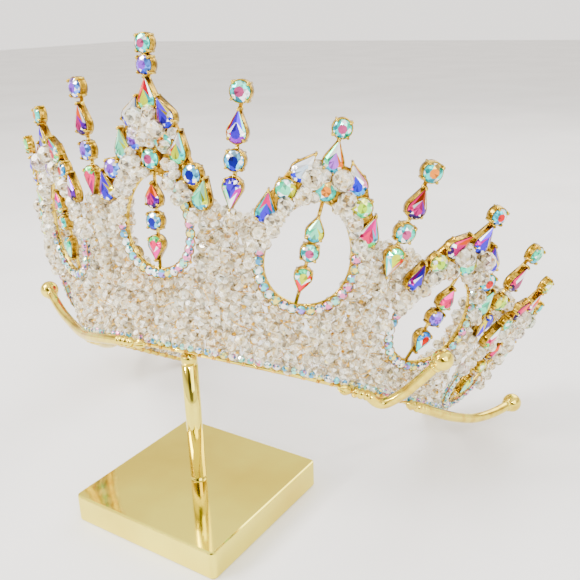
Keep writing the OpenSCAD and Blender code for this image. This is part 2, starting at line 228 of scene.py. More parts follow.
class MeshDraft:
    """Gathers faces in millimetres, each with its colour and smoothness, into one mesh."""

    def __init__(self) -> None:
        """Starts an empty draft."""
        self.verts: list[Vector] = []
        self.faces: list[tuple[int, ...]] = []
        self.tints: list[Colour] = []
        self.smooth: list[bool] = []
        # The tone goes on faces that get no colour of their own; darker tones are painted shade on the cast
        # gold.
        self.tone: Colour = BRIGHT

    def add(
        self,
        points: Sequence[Vector],
        faces: Sequence[Sequence[int]],
        place: Optional[Matrix] = None,
        tints: Optional[Sequence[Colour]] = None,
        smooth: bool = False,
    ) -> None:
        """Adds one closed shell.

        Args:
            points: Its corners.
            faces: Its faces, anticlockwise seen from outside.
            place: Where it goes, or None to leave it.
            tints: A colour for each face, or None for the draft's tone.
            smooth: Whether its faces are shaded smooth.
        """
        base = len(self.verts)
        self.verts += [place @ Vector(p) for p in points] if place else [Vector(p) for p in points]
        self.faces += [tuple(base + k for k in face) for face in faces]
        self.tints += list(tints) if tints else [self.tone] * len(faces)
        self.smooth += [smooth] * len(faces)

    def build(self, name: str, material: bpy.types.Material) -> bpy.types.Object:
        """Makes the object.

        Args:
            name: The object's name.
            material: Its only material.

        Returns:
            The object, at the origin, with its place in its mesh.
        """
        mesh = bpy.data.meshes.new(name)
        mesh.from_pydata([v * MM for v in self.verts], [], self.faces)
        mesh.polygons.foreach_set("use_smooth", self.smooth)
        # Each face's tint: the stones' facet colours with their painted glints and darks, and the painted
        # shade of the castings.
        tint = mesh.attributes.new("tint", "FLOAT_COLOR", "CORNER")
        values: list[float] = []
        for face, shade in zip(self.faces, self.tints):
            values += [*shade, 1.0] * len(face)
        tint.data.foreach_set("color", values)
        mesh.materials.append(material)
        mesh.update()
        piece = bpy.data.objects.new(name, mesh)
        bpy.context.scene.collection.objects.link(piece)
        return piece

    def rings(
        self,
        rings: Sequence[Sequence[Vector]],
        place: Optional[Matrix] = None,
        closed: bool = False,
        smooth: bool = True,
    ) -> None:
        """Joins rings of the same number of points into a skin with capped ends.

        Args:
            rings: The rings, anticlockwise seen from the last one.
            place: Where the skin goes.
            closed: Whether the last ring joins the first one, with no caps.
            smooth: Whether it is shaded smooth.
        """
        n = len(rings[0])
        count = len(rings)
        points = [p for ring in rings for p in ring]
        faces: list[Sequence[int]] = []
        for j in range(count if closed else count - 1):
            faces += belt(j * n, (j + 1) % count * n, n)
        if not closed:
            faces.append(tuple(range(n - 1, -1, -1)))
            faces.append(tuple((count - 1) * n + k for k in range(n)))
        self.add(points, faces, place, smooth=smooth)

    def tube(
        self,
        line: Sequence[Vector],
        radius: Union[float, Sequence[float]],
        sides: int = 8,
        place: Optional[Matrix] = None,
        closed: bool = False,
    ) -> None:
        """Sweeps a round section along a line.

        Args:
            line: Points of the centre line.
            radius: One radius, or one for each point.
            sides: Sides of the section.
            place: Where the tube goes.
            closed: Whether the line is a loop.
        """
        line = [Vector(p) for p in line]
        count = len(line)
        radii = [radius] * count if isinstance(radius, (int, float)) else list(radius)
        rings = []
        side = None
        for j, point in enumerate(line):
            ahead = line[(j + 1) % count] if closed else line[min(j + 1, count - 1)]
            behind = line[j - 1] if closed else line[max(j - 1, 0)]
            along = (ahead - behind).normalized()
            if side is None:
                side = along.cross(Vector((0, 0, 1)) if abs(along.z) < 0.9 else Vector((1, 0, 0)))
            side = (side - along * side.dot(along)).normalized()
            up = along.cross(side)
            rings.append([point + radii[j] * (c * side + s * up) for c, s in circle(sides)])
        self.rings(rings, place, closed)

    def ball(self, centre: Vector, radius: float, place: Optional[Matrix] = None, segs: int = 10) -> None:
        """Adds a small ball.

        Args:
            centre: Its centre.
            radius: Its radius.
            place: Where it goes.
            segs: Sides round it.
        """
        levels = max(3, segs // 2)
        points = [Vector((0, 0, -radius))]
        for j in range(1, levels):
            b = math.pi * j / levels - math.pi / 2
            level, up = math.cos(b), math.sin(b)
            points += [Vector((level * c, level * s, up)) * radius for c, s in circle(segs)]
        points.append(Vector((0, 0, radius)))
        top = len(points) - 1
        faces: list[Sequence[int]] = [(0, 1 + (k + 1) % segs, 1 + k) for k in range(segs)]
        for j in range(levels - 2):
            faces += belt(1 + j * segs, 1 + (j + 1) * segs, segs)
        last = 1 + (levels - 2) * segs
        faces += [(last + k, last + (k + 1) % segs, top) for k in range(segs)]
        self.add([p + Vector(centre) for p in points], faces, place, smooth=True)

    def plate(
        self,
        outline: Sequence[Point2],
        low: float,
        high: float,
        place: Matrix,
        edge: float = 0.25,
    ) -> None:
        """Adds a flat plate with an eased upper edge.

        Args:
            outline: Its outline, anticlockwise.
            low: Height of its back.
            high: Height of its face.
            place: Where it goes.
            edge: Width of the eased edge.
        """
        inner = []
        n = len(outline)
        for k, (x, y) in enumerate(outline):
            (ax, ay), (bx, by) = outline[k - 1], outline[(k + 1) % n]
            away = Vector((by - ay, ax - bx)).normalized() * edge
            inner.append((x - away.x, y - away.y))
        self.rings(
            [
                [Vector((x, y, low)) for x, y in outline],
                [Vector((x, y, high - edge)) for x, y in outline],
                [Vector((x, y, high)) for x, y in inner],
            ],
            place,
            smooth=False,
        )


# Shader making


class Signal:
    """A number socket of a shader tree that takes part in plain arithmetic."""

    def __init__(self, nodes: "Nodes", socket: bpy.types.NodeSocket) -> None:
        """Wraps a socket of a tree."""
        self.nodes = nodes
        self.socket = socket

    def _with(self, operation: str, *values: Union["Signal", float]) -> "Signal":
        """Adds one Math node on these values."""
        return self.nodes.node("ShaderNodeMath", {"operation": operation}, dict(enumerate(values)))

    def __add__(self, other: Union["Signal", float]) -> "Signal":
        """Sum."""
        return self._with("ADD", self, other)

    def __radd__(self, other: float) -> "Signal":
        """Sum with a number first."""
        return self._with("ADD", other, self)

    def __mul__(self, other: Union["Signal", float]) -> "Signal":
        """Product."""
        return self._with("MULTIPLY", self, other)

    def __rmul__(self, other: float) -> "Signal":
        """Product with a number first."""
        return self._with("MULTIPLY", other, self)


class Nodes:
    """Adds nodes to a shader tree."""

    def __init__(self, tree: bpy.types.NodeTree) -> None:
        """Starts work on a tree."""
        self.tree = tree

    def node(
        self,
        kind: str,
        settings: Optional[dict[str, object]] = None,
        sockets: Optional[dict[Union[int, str], object]] = None,
        output: Union[int, str] = 0,
    ) -> Signal:
        """Adds a node.

        Args:
            kind: Its type.
            settings: Its properties, set first; "stops" fills a ramp.
            sockets: Values or links of its inputs, by name or place.
            output: The output that is wanted.

        Returns:
            That output.
        """
        made = self.tree.nodes.new(kind)
        for key, value in (settings or {}).items():
            if key == "stops":
                self._fill(made.color_ramp, value)
            else:
                setattr(made, key, value)
        for key, value in (sockets or {}).items():
            self.feed(made.inputs[key], value)
        return Signal(self, made.outputs[output])

    def _fill(self, ramp: bpy.types.ColorRamp, stops: Stops) -> None:
        """Sets a ramp's stops from places and colour codes."""
        while len(ramp.elements) < len(stops):
            ramp.elements.new(1.0)
        for element, (place, code) in zip(ramp.elements, stops):
            element.position = place
            element.color = (*colour(code), 1.0)

    def feed(self, socket: bpy.types.NodeSocket, value: object) -> None:
        """Links or sets one input."""
        if isinstance(value, Signal):
            self.tree.links.new(value.socket, socket)
        elif isinstance(value, tuple) and len(value) == 3 and socket.type == "RGBA":
            socket.default_value = (*value, 1.0)
        else:
            socket.default_value = value

    def ramp(self, factor: Signal, stops: Stops, interpolation: str = "LINEAR") -> Signal:
        """Turns a number into a colour by these stops."""
        made = self.node("ShaderNodeValToRGB", {"stops": stops}, {0: factor})
        made.socket.node.color_ramp.interpolation = interpolation
        return made


class Shader(Nodes):
    """One procedural material with a Principled surface."""

    def __init__(self, name: str) -> None:
        """Starts a material of this name."""
        self.material = bpy.data.materials.new(name)
        self.material.use_nodes = True
        super().__init__(self.material.node_tree)
        self.surface = self.tree.nodes["Principled BSDF"]

    def set(self, **values: object) -> None:
        """Sets or links sockets of the surface, with underscores for spaces."""
        for key, value in values.items():
            self.feed(self.surface.inputs[key.replace("_", " ")], value)

    def attribute(self, name: str, output: str = "Fac") -> Signal:
        """Reads an attribute of the mesh."""
        return self.node("ShaderNodeAttribute", {"attribute_name": name}, output=output)

    def noise(self, scale: float, detail: float = 2.0, stretch: Optional[Point3] = None) -> Signal:
        """Noise over the object's own coordinates.

        Args:
            scale: Blobs in a metre.
            detail: Layers of finer noise.
            stretch: Scale along each axis, or None.

        Returns:
            The noise, about 0.5.
        """
        place = self.node("ShaderNodeTexCoord", output="Object")
        if stretch:
            place = self.node("ShaderNodeMapping", None, {"Vector": place, "Scale": stretch})
        return self.node("ShaderNodeTexNoise", None, {"Vector": place, "Scale": scale, "Detail": detail})

    def cells(self, scale: float) -> tuple[Signal, Signal]:
        """Two random numbers for each of the small angular cells that fill the object.

        Args:
            scale: Cells in a metre.

        Returns:
            The numbers, each from 0 to 1.
        """
        place = self.node("ShaderNodeTexCoord", output="Object")
        cell = self.node(
            "ShaderNodeTexVoronoi", {"distance": "CHEBYCHEV"}, {"Vector": place, "Scale": scale}, "Color"
        )
        first = self.node("ShaderNodeSeparateColor", None, {0: cell})
        return first, Signal(self, first.socket.node.outputs[1])

    def mix(self, factor: object, one: object, two: object, blend: str = "MIX") -> Signal:
        """Mixes two colours."""
        kind = {"data_type": "RGBA", "blend_type": blend}
        return self.node("ShaderNodeMix", kind, {0: factor, 6: one, 7: two}, 2)

    def bump(self, height: Signal, strength: float, distance: float) -> Signal:
        """Bends the surface's light by a height, with the distance in metres."""
        return self.node(
            "ShaderNodeBump", None, {"Height": height, "Strength": strength, "Distance": distance}, "Normal"
        )


@dataclass(frozen=True)
class PolishedGold:
    """Mirror-polished pale gold of the stand, with faint streaks."""

    tones: Stops = ((0.3, 0xE2CA46), (0.62, 0xF4E65C))
    clouds: float = 28.0
    streaks: float = 220.0
    streak_shape: Point3 = (0.12, 1.0, 1.0)
    roughness: float = 0.06
    rougher: float = 0.09
    dents: float = 0.06

    def make(self, name: str) -> bpy.types.Material:
        """Makes the material under this name."""
        shader = Shader(name)
        cloud = shader.noise(self.clouds, 3.0)
        streak = shader.noise(self.streaks, 2.0, self.streak_shape)
        shader.set(
            Base_Color=shader.ramp(cloud, self.tones),
            Metallic=1.0,
            Roughness=self.roughness + self.rougher * (streak * cloud),
            Normal=shader.bump(streak, self.dents, 0.0001),
        )
        return shader.material


@dataclass(frozen=True)
class CastGold:
    """Light yellow gold of the castings, with the soft skin that casting leaves."""

    base: int = 0xF2D452
    deep: int = 0x90701C
    deep_share: float = 0.32
    base_share: float = 0.56
    roughness: float = 0.13
    rougher: float = 0.18
    grain: float = 900.0
    dents: float = 0.3
    depth: float = 0.0001
    toned: bool = True

    def make(self, name: str) -> bpy.types.Material:
        """Makes the material under this name."""
        shader = Shader(name)
        skin = shader.noise(self.grain, 2.0)
        metal = shader.ramp(skin, ((self.deep_share, self.deep), (self.base_share, self.base)))
        # The tint multiplies in painted shade: cups, claws and recessed parts are painted darker.
        if self.toned:
            metal = shader.mix(1.0, metal, shader.attribute("tint", "Color"), "MULTIPLY")
        shader.set(
            Base_Color=metal,
            Metallic=1.0,
            Roughness=self.roughness + self.rougher * skin,
            Normal=shader.bump(skin, self.dents, self.depth),
        )
        return shader.material


@dataclass(frozen=True)
class ClearCrystal:
    """Clear faceted crystal whose facets are painted light, dark and gold by turns: painted reflections
    inside the glass, the painted gold of the wire seen through it, and painted sparkle that glows.
    """

    see_through: float = 0.5
    glow: float = 0.75
    cells: float = 1300.0
    # Painted light and shade of the facets and of small cells in them, standing in for reflections inside the
    # glass.
    light: Stops = (
        (0.0, 0x1E1810),
        (0.12, 0x6E6452),
        (0.24, 0xBDB39E),
        (0.4, 0xF0EBDD),
        (0.7, 0xFFFDF6),
        (1.0, 0xFFFFFF),
    )
    # Painted gold of the wire seen through the glass: most beads near white, a few bluish.
    warm: Stops = (
        (0.0, 0xB07A1C),
        (0.16, 0xE6C060),
        (0.28, 0xF8ECC0),
        (0.5, 0xFFFAE8),
        (0.84, 0xFFFDF4),
        (1.0, 0xCFEDF8),
    )
    # Painted sparkle: the brightest facets glow.
    flashes: Stops = ((0.0, 0x000000), (0.3, 0x302C22), (0.68, 0x5A564A), (0.8, 0xFFFFFF))

    def make(self, name: str) -> bpy.types.Material:
        """Makes the material under this name."""
        shader = Shader(name)
        cell, other = shader.cells(self.cells)
        flash = 0.72 * shader.attribute("facet") + 0.28 * cell
        warmth = 0.7 * other + 0.3 * shader.attribute("shade")
        light, warm = shader.ramp(flash, self.light), shader.ramp(warmth, self.warm)
        shader.set(
            Base_Color=shader.mix(1.0, light, warm, "MULTIPLY"),
            Metallic=0.0,
            Roughness=0.04,
            IOR=1.55,
            Transmission_Weight=self.see_through,
            Coat_Weight=0.3,
            Coat_Roughness=0.02,
            # The emission is painted light: the brightest facets glow though they are no lamp.
            Emission_Color=shader.ramp(flash, self.flashes),
            Emission_Strength=self.glow,
        )
        return shader.material


@dataclass(frozen=True)
class CoatedCrystal:
    """Cut crystal with an iridescent coat, each facet in its own colour with its painted glints and darks; it
    glows by emission, which is painted light.
    """

    metal: float = 0.7
    glow: float = 0.22

    def make(self, name: str) -> bpy.types.Material:
        """Makes the material under this name."""
        shader = Shader(name)
        tint = shader.attribute("tint", "Color")
        shader.set(
            Base_Color=tint,
            Metallic=self.metal,
            Roughness=0.1,
            Coat_Weight=0.2,
            Coat_Roughness=0.02,
            Specular_IOR_Level=0.25,
            # Painted light: the stones glow in their own colours though they are no lamp.
            Emission_Color=tint,
            Emission_Strength=self.glow,
        )
        return shader.material


@dataclass(frozen=True)
class SparkleCrystal:
    """Small coated stones, each with its own colour out of a row, their facets painted lighter and darker,
    and glowing by emission as painted light.
    """

    metal: float = 0.45
    glow: float = 0.25
    hues: Stops = (
        (0.0, 0x38C8C0),
        (0.14, 0xF4FBF8),
        (0.26, 0x8CE8CC),
        (0.38, 0xF0DC58),
        (0.48, 0x2C94C8),
        (0.58, 0xF8F4EC),
        (0.68, 0xE870A8),
        (0.76, 0x58D4DC),
        (0.88, 0x8C7CF0),
        (0.95, 0xF2B070),
    )
    # Painted light and shade of the facets, from dark to white.
    light: Stops = ((0.0, 0x2C343A), (0.2, 0x9CA2A8), (0.5, 0xF0F2F4), (1.0, 0xFFFFFF))

    def make(self, name: str) -> bpy.types.Material:
        """Makes the material under this name."""
        shader = Shader(name)
        facet = shader.attribute("facet")
        pick = 0.72 * shader.attribute("shade") + 0.28 * facet
        hue = shader.ramp(pick, self.hues, "CONSTANT")
        tint = shader.mix(1.0, hue, shader.ramp(facet, self.light), "MULTIPLY")
        shader.set(
            Base_Color=tint,
            Metallic=self.metal,
            Roughness=0.1,
            Coat_Weight=0.4,
            Coat_Roughness=0.02,
            # Painted light: the stones glow though they are no lamp.
            Emission_Color=tint,
            Emission_Strength=self.glow,
        )
        return shader.material


@dataclass(frozen=True)
class SoftLight:
    """A soft square light that faces the crown: metres, watts and linear colour."""

    name: str
    place: Point3
    size: float
    power: float
    tone: Colour
    aim: ClassVar[Point3] = (0, 0.04, 0.07)

    def build(self) -> None:
        """Hangs the light."""
        data = bpy.data.lights.new(self.name, "AREA")
        data.size = self.size
        data.energy = self.power
        data.color = self.tone
        lamp = bpy.data.objects.new(self.name, data)
        lamp.location = self.place
        way = Vector(self.aim) - Vector(self.place)
        lamp.rotation_euler = way.to_track_quat("-Z", "Y").to_euler()
        bpy.context.scene.collection.objects.link(lamp)


LIGHTS = (
    SoftLight("key", (-0.42, -0.35, 0.62), 0.34, 9.0, (1.0, 0.985, 0.96)),
    SoftLight("fill", (0.62, -0.3, 0.42), 0.5, 4.0, (0.97, 0.98, 1.0)),
    SoftLight("back", (0.1, 0.62, 0.55), 0.6, 5.0, (1.0, 0.98, 0.95)),
    SoftLight("spark_left", (-0.3, -0.55, 0.35), 0.04, 2.0, (1.0, 1.0, 1.0)),
    SoftLight("spark_right", (0.35, -0.5, 0.5), 0.04, 2.0, (1.0, 1.0, 1.0)),
)


@dataclass(frozen=True)
class Studio:
    """Pale floor and air; the air is darker in a band above the horizon and behind the camera."""

    floor_size: float = 6.0
    floor_tones: Stops = ((0.35, 0xECEAE9), (0.7, 0xF6F4F3))
    air: Stops = (
        (0.0, 0xFFFAF5),
        (0.14, 0xFFFAF4),
        (0.34, 0x9C8F78),
        (0.48, 0xD8CDBE),
        (0.7, 0xFFFBF6),
        (1.0, 0xFFFFFF),
    )
    air_strength: float = 1.95
    dark_way: Point3 = (0.52, -0.78, 0.35)
    dark_span: tuple[float, float] = (0.82, 0.93)
    dark_left: float = 0.12

    def floor_material(self) -> bpy.types.Material:
        """Makes the floor's plain pale finish."""
        shader = Shader("studio_floor")
        cloud = shader.noise(9.0, 4.0)
        shader.set(Base_Color=shader.ramp(cloud, self.floor_tones), Roughness=0.42, Specular_IOR_Level=0.35)
        return shader.material

    def build(self) -> None:
        """Makes the floor, the lights and the pale world."""
        half = self.floor_size / 2
        mesh = bpy.data.meshes.new("studio_floor")
        corners = [(-half, -half, 0), (half, -half, 0), (half, half, 0), (-half, half, 0)]
        mesh.from_pydata(corners, [], [(0, 1, 2, 3)])
        mesh.materials.append(self.floor_material())
        floor = bpy.data.objects.new("studio_floor", mesh)
        bpy.context.scene.collection.objects.link(floor)
        for light in LIGHTS:
            light.build()
        world = bpy.data.worlds.new("studio_air")
        world.use_nodes = True
        air = Nodes(world.node_tree)
        way = air.node("ShaderNodeTexCoord", output="Generated")
        up = air.node("ShaderNodeSeparateXYZ", None, {0: way}, "Z")
        dot = {"operation": "DOT_PRODUCT"}
        toward = air.node("ShaderNodeVectorMath", dot, {0: way, 1: self.dark_way}, "Value")
        span = (toward, *self.dark_span, 1.0, self.dark_left)
        dark = air.node("ShaderNodeMapRange", None, dict(enumerate(span)))
        seen = air.node("ShaderNodeLightPath", output="Is Camera Ray")
        shown = air.node("ShaderNodeMath", {"operation": "MAXIMUM"}, {0: dark, 1: seen})
        back = world.node_tree.nodes["Background"]
        air.feed(back.inputs["Color"], air.ramp(up, self.air))
        air.feed(back.inputs["Strength"], shown * self.air_strength)
        bpy.context.scene.world = world


@dataclass(frozen=True)
class PhotoCamera:
    """The photograph's camera, fitted to the corners of the stand's plate."""

    frame_px: float = 580.0
    focal_px: float = 764.66
    tilt: float = 0.354179
    turn: float = 0.586929
    roll: float = 0.0307796
    aside: float = -0.536361
    above: float = -1.098035
    distance: float = 4.498440
    unit: float = 0.054
    sensor: float = 36.0
    nearest: float = 0.01

    def build(self) -> None:
        """Makes the camera and gives it to the scene."""
        c, s = math.cos(self.roll), math.sin(self.roll)
        ct, st = math.cos(self.tilt), math.sin(self.tilt)
        ca, sa = math.cos(self.turn), math.sin(self.turn)
        right = Vector((c * ca + s * st * sa, c * sa - s * st * ca, -s * ct))
        up = Vector((s * ca - c * st * sa, s * sa + c * st * ca, c * ct))
        ahead = Vector((-ct * sa, ct * ca, -st))
        data = bpy.data.cameras.new("photo_camera")
        data.sensor_width = self.sensor
        data.lens = self.focal_px / self.frame_px * self.sensor
        data.clip_start = self.nearest
        camera = bpy.data.objects.new("photo_camera", data)
        place = (-self.aside * right - self.above * up - self.distance * ahead) * self.unit
        place.z += CROWN.plate_h * MM
        turn = Matrix((right, up, -ahead)).transposed().to_4x4()
        camera.matrix_world = Matrix.Translation(place) @ turn
        bpy.context.scene.collection.objects.link(camera)
        bpy.context.scene.camera = camera


# Stones


class Stone(Enum):
    """The four stones of the crown: length, width and whether it is round."""

    ROUND = (5.4, 5.4, True)
    SMALL_ROUND = (4.8, 4.8, True)
    DROP = (8.6, 5.2, False)
    SMALL_DROP = (6.8, 4.6, False)

    @property
    def length(self) -> float:
        """Length of the stone."""
        return self.value[0]

    @property
    def round(self) -> bool:
        """Whether the stone is round."""
        return self.value[2]

    def outline(self, grow: float, count: int = 16) -> list[Point2]:
        """Outline of the stone, tip up.

        Args:
            grow: Distance by which it is grown.
            count: Number of points.

        Returns:
            The points, anticlockwise from the tip.
        """
        length, width, whole = self.value
        if whole:
            return egg(length / 2 + grow, length / 2 + grow, 0.0, count, 90.0, 450.0)
        r = width / 2 + grow
        low = (width - length) / 2
        tip = length / 2 + 1.3 * grow
        opening = math.degrees(math.acos(r / (tip - low)))
        points = [(0.0, tip)]
        for k in range(count - 1):
            a = math.radians(90 + opening + k * (360 - 2 * opening) / (count - 2))
            points.append((r * math.cos(a), low + r * math.sin(a)))
        return points


# Painted light on the stones' facets: a share of them is painted as a white glint, some are painted dark as
# shade in their reflections, and the table facets are a little darker.
PAINTED_GLINT: Colour = (0.95, 0.97, 1.0)
PAINTED_GLINT_SHARE = 0.2
PAINTED_DARK_FROM = 0.84
PAINTED_DARK_GAIN = 0.35
TABLE_GAIN = 0.85
PURITY = 1.8


class Glow(Enum):
    """Colours that a coated stone shows: table, left, right, top and foot; each facet is painted the colour
    of the way it faces, partly the coat's own colour and partly painted reflection.
    """

    AQUA_ROSE = (0xC07A96, 0x58D0D4, 0x8CE8D8, 0xB4F0E0, 0x3CB4CC)
    MINT = (0xA4F0CC, 0x6CDCB8, 0xE8F08C, 0xC4F8DC, 0x58BCD4)
    INDIGO = (0x7628E0, 0xD81468, 0xB4F0D8, 0x7A38E8, 0x9A20C8)
    BLUE_MAGENTA = (0x7628E0, 0xC81CB0, 0x98F0CC, 0x8038E8, 0x6018B8)
    LILAC_GOLD = (0xC89CE8, 0x90F0C4, 0xF09828, 0xA8F0D8, 0x3CC4E8)
    PEACH_AQUA = (0xF4AC80, 0x64DCD8, 0x8CE8DC, 0xF8DCA8, 0x4CC4D4)
    CLEAR_BLUE = (0xD8E4F0, 0xF0F0F0, 0xC8E0F4, 0xFFFFFF, 0x2840D8)
    PINK_BLUE = (0x2C48E8, 0xF0A8C8, 0xF8C0D8, 0xF0B0D8, 0x60B8F8)
    DEEP_BLUE = (0x7024D8, 0x4CD8D8, 0x60B8F0, 0xF060A0, 0x3848E0)
    HOT_PINK = (0xE83088, 0xF05498, 0x84B0C4, 0xF07CB4, 0x7CD890)
    MAGENTA = (0xC00888, 0xE82890, 0x7410A8, 0xF08838, 0x380858)
    VIOLET = (0x7020D8, 0xD828B8, 0xE8D838, 0x8848F8, 0x3020C8)
    LAVENDER = (0xB08CE8, 0xA898F0, 0x98B4F8, 0xC8B4F8, 0x6878E0)
    CYAN_RED = (0xE02848, 0x38E0F0, 0x28B8F0, 0x7CF0F0, 0x1890D8)
    NAVY = (0x101C88, 0x88C8F8, 0xA8DCF8, 0xC4E4F8, 0x2040B8)
    CITRUS = (0xCCF064, 0xECF098, 0xA8F0AC, 0xF0F8B4, 0x74DCA8)
    RED_MINT = (0xDCE868, 0xE81C50, 0x54DCDC, 0xF04078, 0x84E8B4)

    def facet(self, x: float, y: float, table: bool, luck: random.Random) -> Colour:
        """Colour of one facet, with a painted glint or painted dark shade on some facets.

        Args:
            x: Across the stone, from its centre.
            y: Up the stone, from its centre.
            table: Whether the facet is part of the table.
            luck: The stone's own random numbers.

        Returns:
            The colour, linear.
        """
        middle, left, right, top, foot = self.value
        if table:
            pick = middle
        elif abs(y) > abs(x) * 1.1:
            pick = top if y > 0 else foot
        else:
            pick = right if x > 0 else left
        chance = luck.random()
        # A share of the side facets gets a painted glint.
        if chance < PAINTED_GLINT_SHARE and not table:
            return PAINTED_GLINT
        shown = colour(pick)
        pure = 1 - min(shown) / max(shown)
        gain = (1.05 - 0.4 * pure) * (0.9 + 0.2 * luck.random())
        # Some facets are painted dark: painted shade.
        if chance > PAINTED_DARK_FROM:
            gain *= PAINTED_DARK_GAIN
        elif table:
            gain *= TABLE_GAIN
        grey = sum(shown) / 3
        return tuple(min(1.0, max(0.0, grey + (part - grey) * PURITY) * gain) for part in shown)


@dataclass(frozen=True)
class CutStone:
    """A cut stone: a girdle of 16, a crown of 32 facets and a table."""

    kind: Stone
    glow: Glow
    girdle: float = 1.8
    girdle_h: float = 0.3
    height: float = 2.6
    inset: float = 0.35
    table: float = 0.52
    shift: float = 0.1
    sides: int = 16

    def add_to(self, draft: MeshDraft, place: Matrix, luck: random.Random) -> None:
        """Adds the stone to a draft.

        Args:
            draft: The draft of the stones' mesh.
            place: Place of the middle of the stone's back.
            luck: Random numbers for its facets.
        """
        n, half = self.sides, self.sides // 2
        rim = self.kind.outline(0.0, n)
        low = self.kind.outline(-self.inset, n)
        drop = 0.0 if self.kind.round else self.shift * self.kind.length
        mid_z = self.girdle + 0.6 * (self.height - self.girdle)
        points = [Vector((x, y, 0.0)) for x, y in low]
        points += [Vector((x, y, self.girdle - self.girdle_h)) for x, y in rim]
        points += [Vector((x, y, self.girdle)) for x, y in rim]
        points += [Vector((x * 0.8, y * 0.8 - drop / 2, mid_z)) for x, y in rim[1::2]]
        points += [Vector((x * self.table, y * self.table - drop, self.height)) for x, y in rim[0::2]]
        points.append(Vector((0, -drop, self.height)))
        mid, top, peak = 3 * n, 3 * n + half, 4 * n
        faces: list[Sequence[int]] = [tuple(range(n - 1, -1, -1))]
        faces += belt(0, n, n) + belt(n, 2 * n, n)
        plain = len(faces)
        for k in range(half):
            after = (k + 1) % half
            here, nxt, far = 2 * n + 2 * k, 2 * n + 2 * k + 1, 2 * n + (2 * k + 2) % n
            faces += [(here, nxt, mid + k), (nxt, far, mid + k)]
            faces += [(here, mid + k, top + k, mid + (k - 1) % half), (top + k, mid + k, top + after)]
        crown = len(faces)
        faces += [(top + k, top + (k + 1) % half, peak) for k in range(half)]
        tints = []
        for number, face in enumerate(faces):
            centre = sum((points[k] for k in face), Vector()) / len(face)
            if number < plain:
                tints.append(colour(self.glow.value[4]))
            else:
                tints.append(self.glow.facet(centre.x, centre.y + drop / 2, number >= crown, luck))
        draft.add(points, faces, place, tints)


@dataclass(frozen=True)
class Setting:
    """A gold cup round a stone, with claws over its edge."""

    kind: Stone
    gap: float = 0.1
    wall: float = 0.3
    cup_h: float = 1.2
    claw_d: float = 0.9
    claw_up: float = 0.45
    claw_in: float = 0.35

    def add_to(self, draft: MeshDraft, place: Matrix) -> None:
        """Adds the cup and its claws.

        Args:
            draft: The draft of the casting's mesh.
            place: The stone's place on the wall's mid surface.
        """
        base, seat = CROWN.cast_z, CROWN.cast_z + CROWN.cast_t
        rim = seat + self.cup_h
        outer = self.kind.outline(self.gap + self.wall, 20)
        waist = self.kind.outline(self.gap + self.wall * 0.5, 20)
        inner = self.kind.outline(self.gap * 0.5, 20)
        levels = (
            (outer, base),
            (outer, seat),
            (waist, seat + 0.3),
            (outer, rim - 0.25),
            (waist, rim),
            (inner, rim - 0.1),
        )
        rings = [[Vector((x, y, z)) for x, y in line] for line, z in levels]
        rings.append([Vector((x, y, seat - 0.5)) for x, y in inner])
        # Painted shade: the cup and the claws are painted darker than the rest of the casting.
        draft.tone = CUP_SHADE
        draft.rings(rings, place)
        draft.tone = CLAW_SHADE
        for x, y in self._claws():
            lean = Vector((x, y)).normalized() * self.claw_in
            tip = rim + self.claw_up
            line = [(x, y, base + 0.3), (x, y, rim), (x - lean.x * 0.5, y - lean.y * 0.5, tip)]
            draft.tube(line, [0.42, 0.4, 0.36], 8, place)
            draft.ball(Vector((x - lean.x, y - lean.y, tip)), self.claw_d / 2, place, 8)
        draft.tone = BRIGHT

    def _claws(self) -> list[Point2]:
        """Places of the claws round the stone."""
        if self.kind.round:
            reach = self.kind.length / 2 + 0.5
            return egg(reach, reach, 0.0, 4, 45.0, 405.0)
        edge = self.kind.outline(0.3, 20)
        return [edge[0], edge[6], edge[14]]


# Arches and spikes


STONE_BACK = 2.7


@dataclass(frozen=True)
class Tine:
    """A cast upright of the crown with set stones."""

    node: str
    tine: int
    seed: ClassVar[int] = 0

    def stones(self) -> list[tuple[Stone, Glow, Matrix]]:
        """Kind, colours and place of each stone, on the wall's mid surface."""
        raise NotImplementedError

    def cut_stones(self, material: bpy.types.Material) -> bpy.types.Object:
        """Builds the stones in place of their solids."""
        draft = MeshDraft()
        luck = random.Random(self.seed + self.tine)
        for kind, glow, spot in self.stones():
            CutStone(kind, glow).add_to(draft, spot @ Matrix.Translation((0, 0, STONE_BACK)), luck)
        piece = draft.build(f"{self.node}_cut_stones", material)
        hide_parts(f"{self.node}_stones")
        return piece


@dataclass(frozen=True)
class Seat:
    """Place of a stone, or of a left and right pair, in an arch, as shares of its opening's halves."""

    kind: Stone
    side: float
    up: float
    lean: float
    left: Glow
    right: Glow = Glow.MINT


FRONT_SEATS = (
    Seat(Stone.ROUND, 0, 1.34, 0, Glow.AQUA_ROSE),
    Seat(Stone.DROP, 0.52, 2.28, 24, Glow.CLEAR_BLUE, Glow.VIOLET),
    Seat(Stone.ROUND, 0.47, 1.71, 0, Glow.LAVENDER, Glow.PEACH_AQUA),
    Seat(Stone.DROP, 0.94, 1.60, -8, Glow.MINT, Glow.RED_MINT),
    Seat(Stone.ROUND, 1.34, 1.08, 0, Glow.LAVENDER, Glow.NAVY),
    Seat(Stone.DROP, 1.63, 0.70, -15, Glow.VIOLET, Glow.MINT),
    Seat(Stone.SMALL_DROP, 0, 0.58, 0, Glow.MAGENTA),
    Seat(Stone.SMALL_ROUND, 0, 0.04, 0, Glow.NAVY),
    Seat(Stone.SMALL_DROP, 0, -0.54, 180, Glow.HOT_PINK),
)


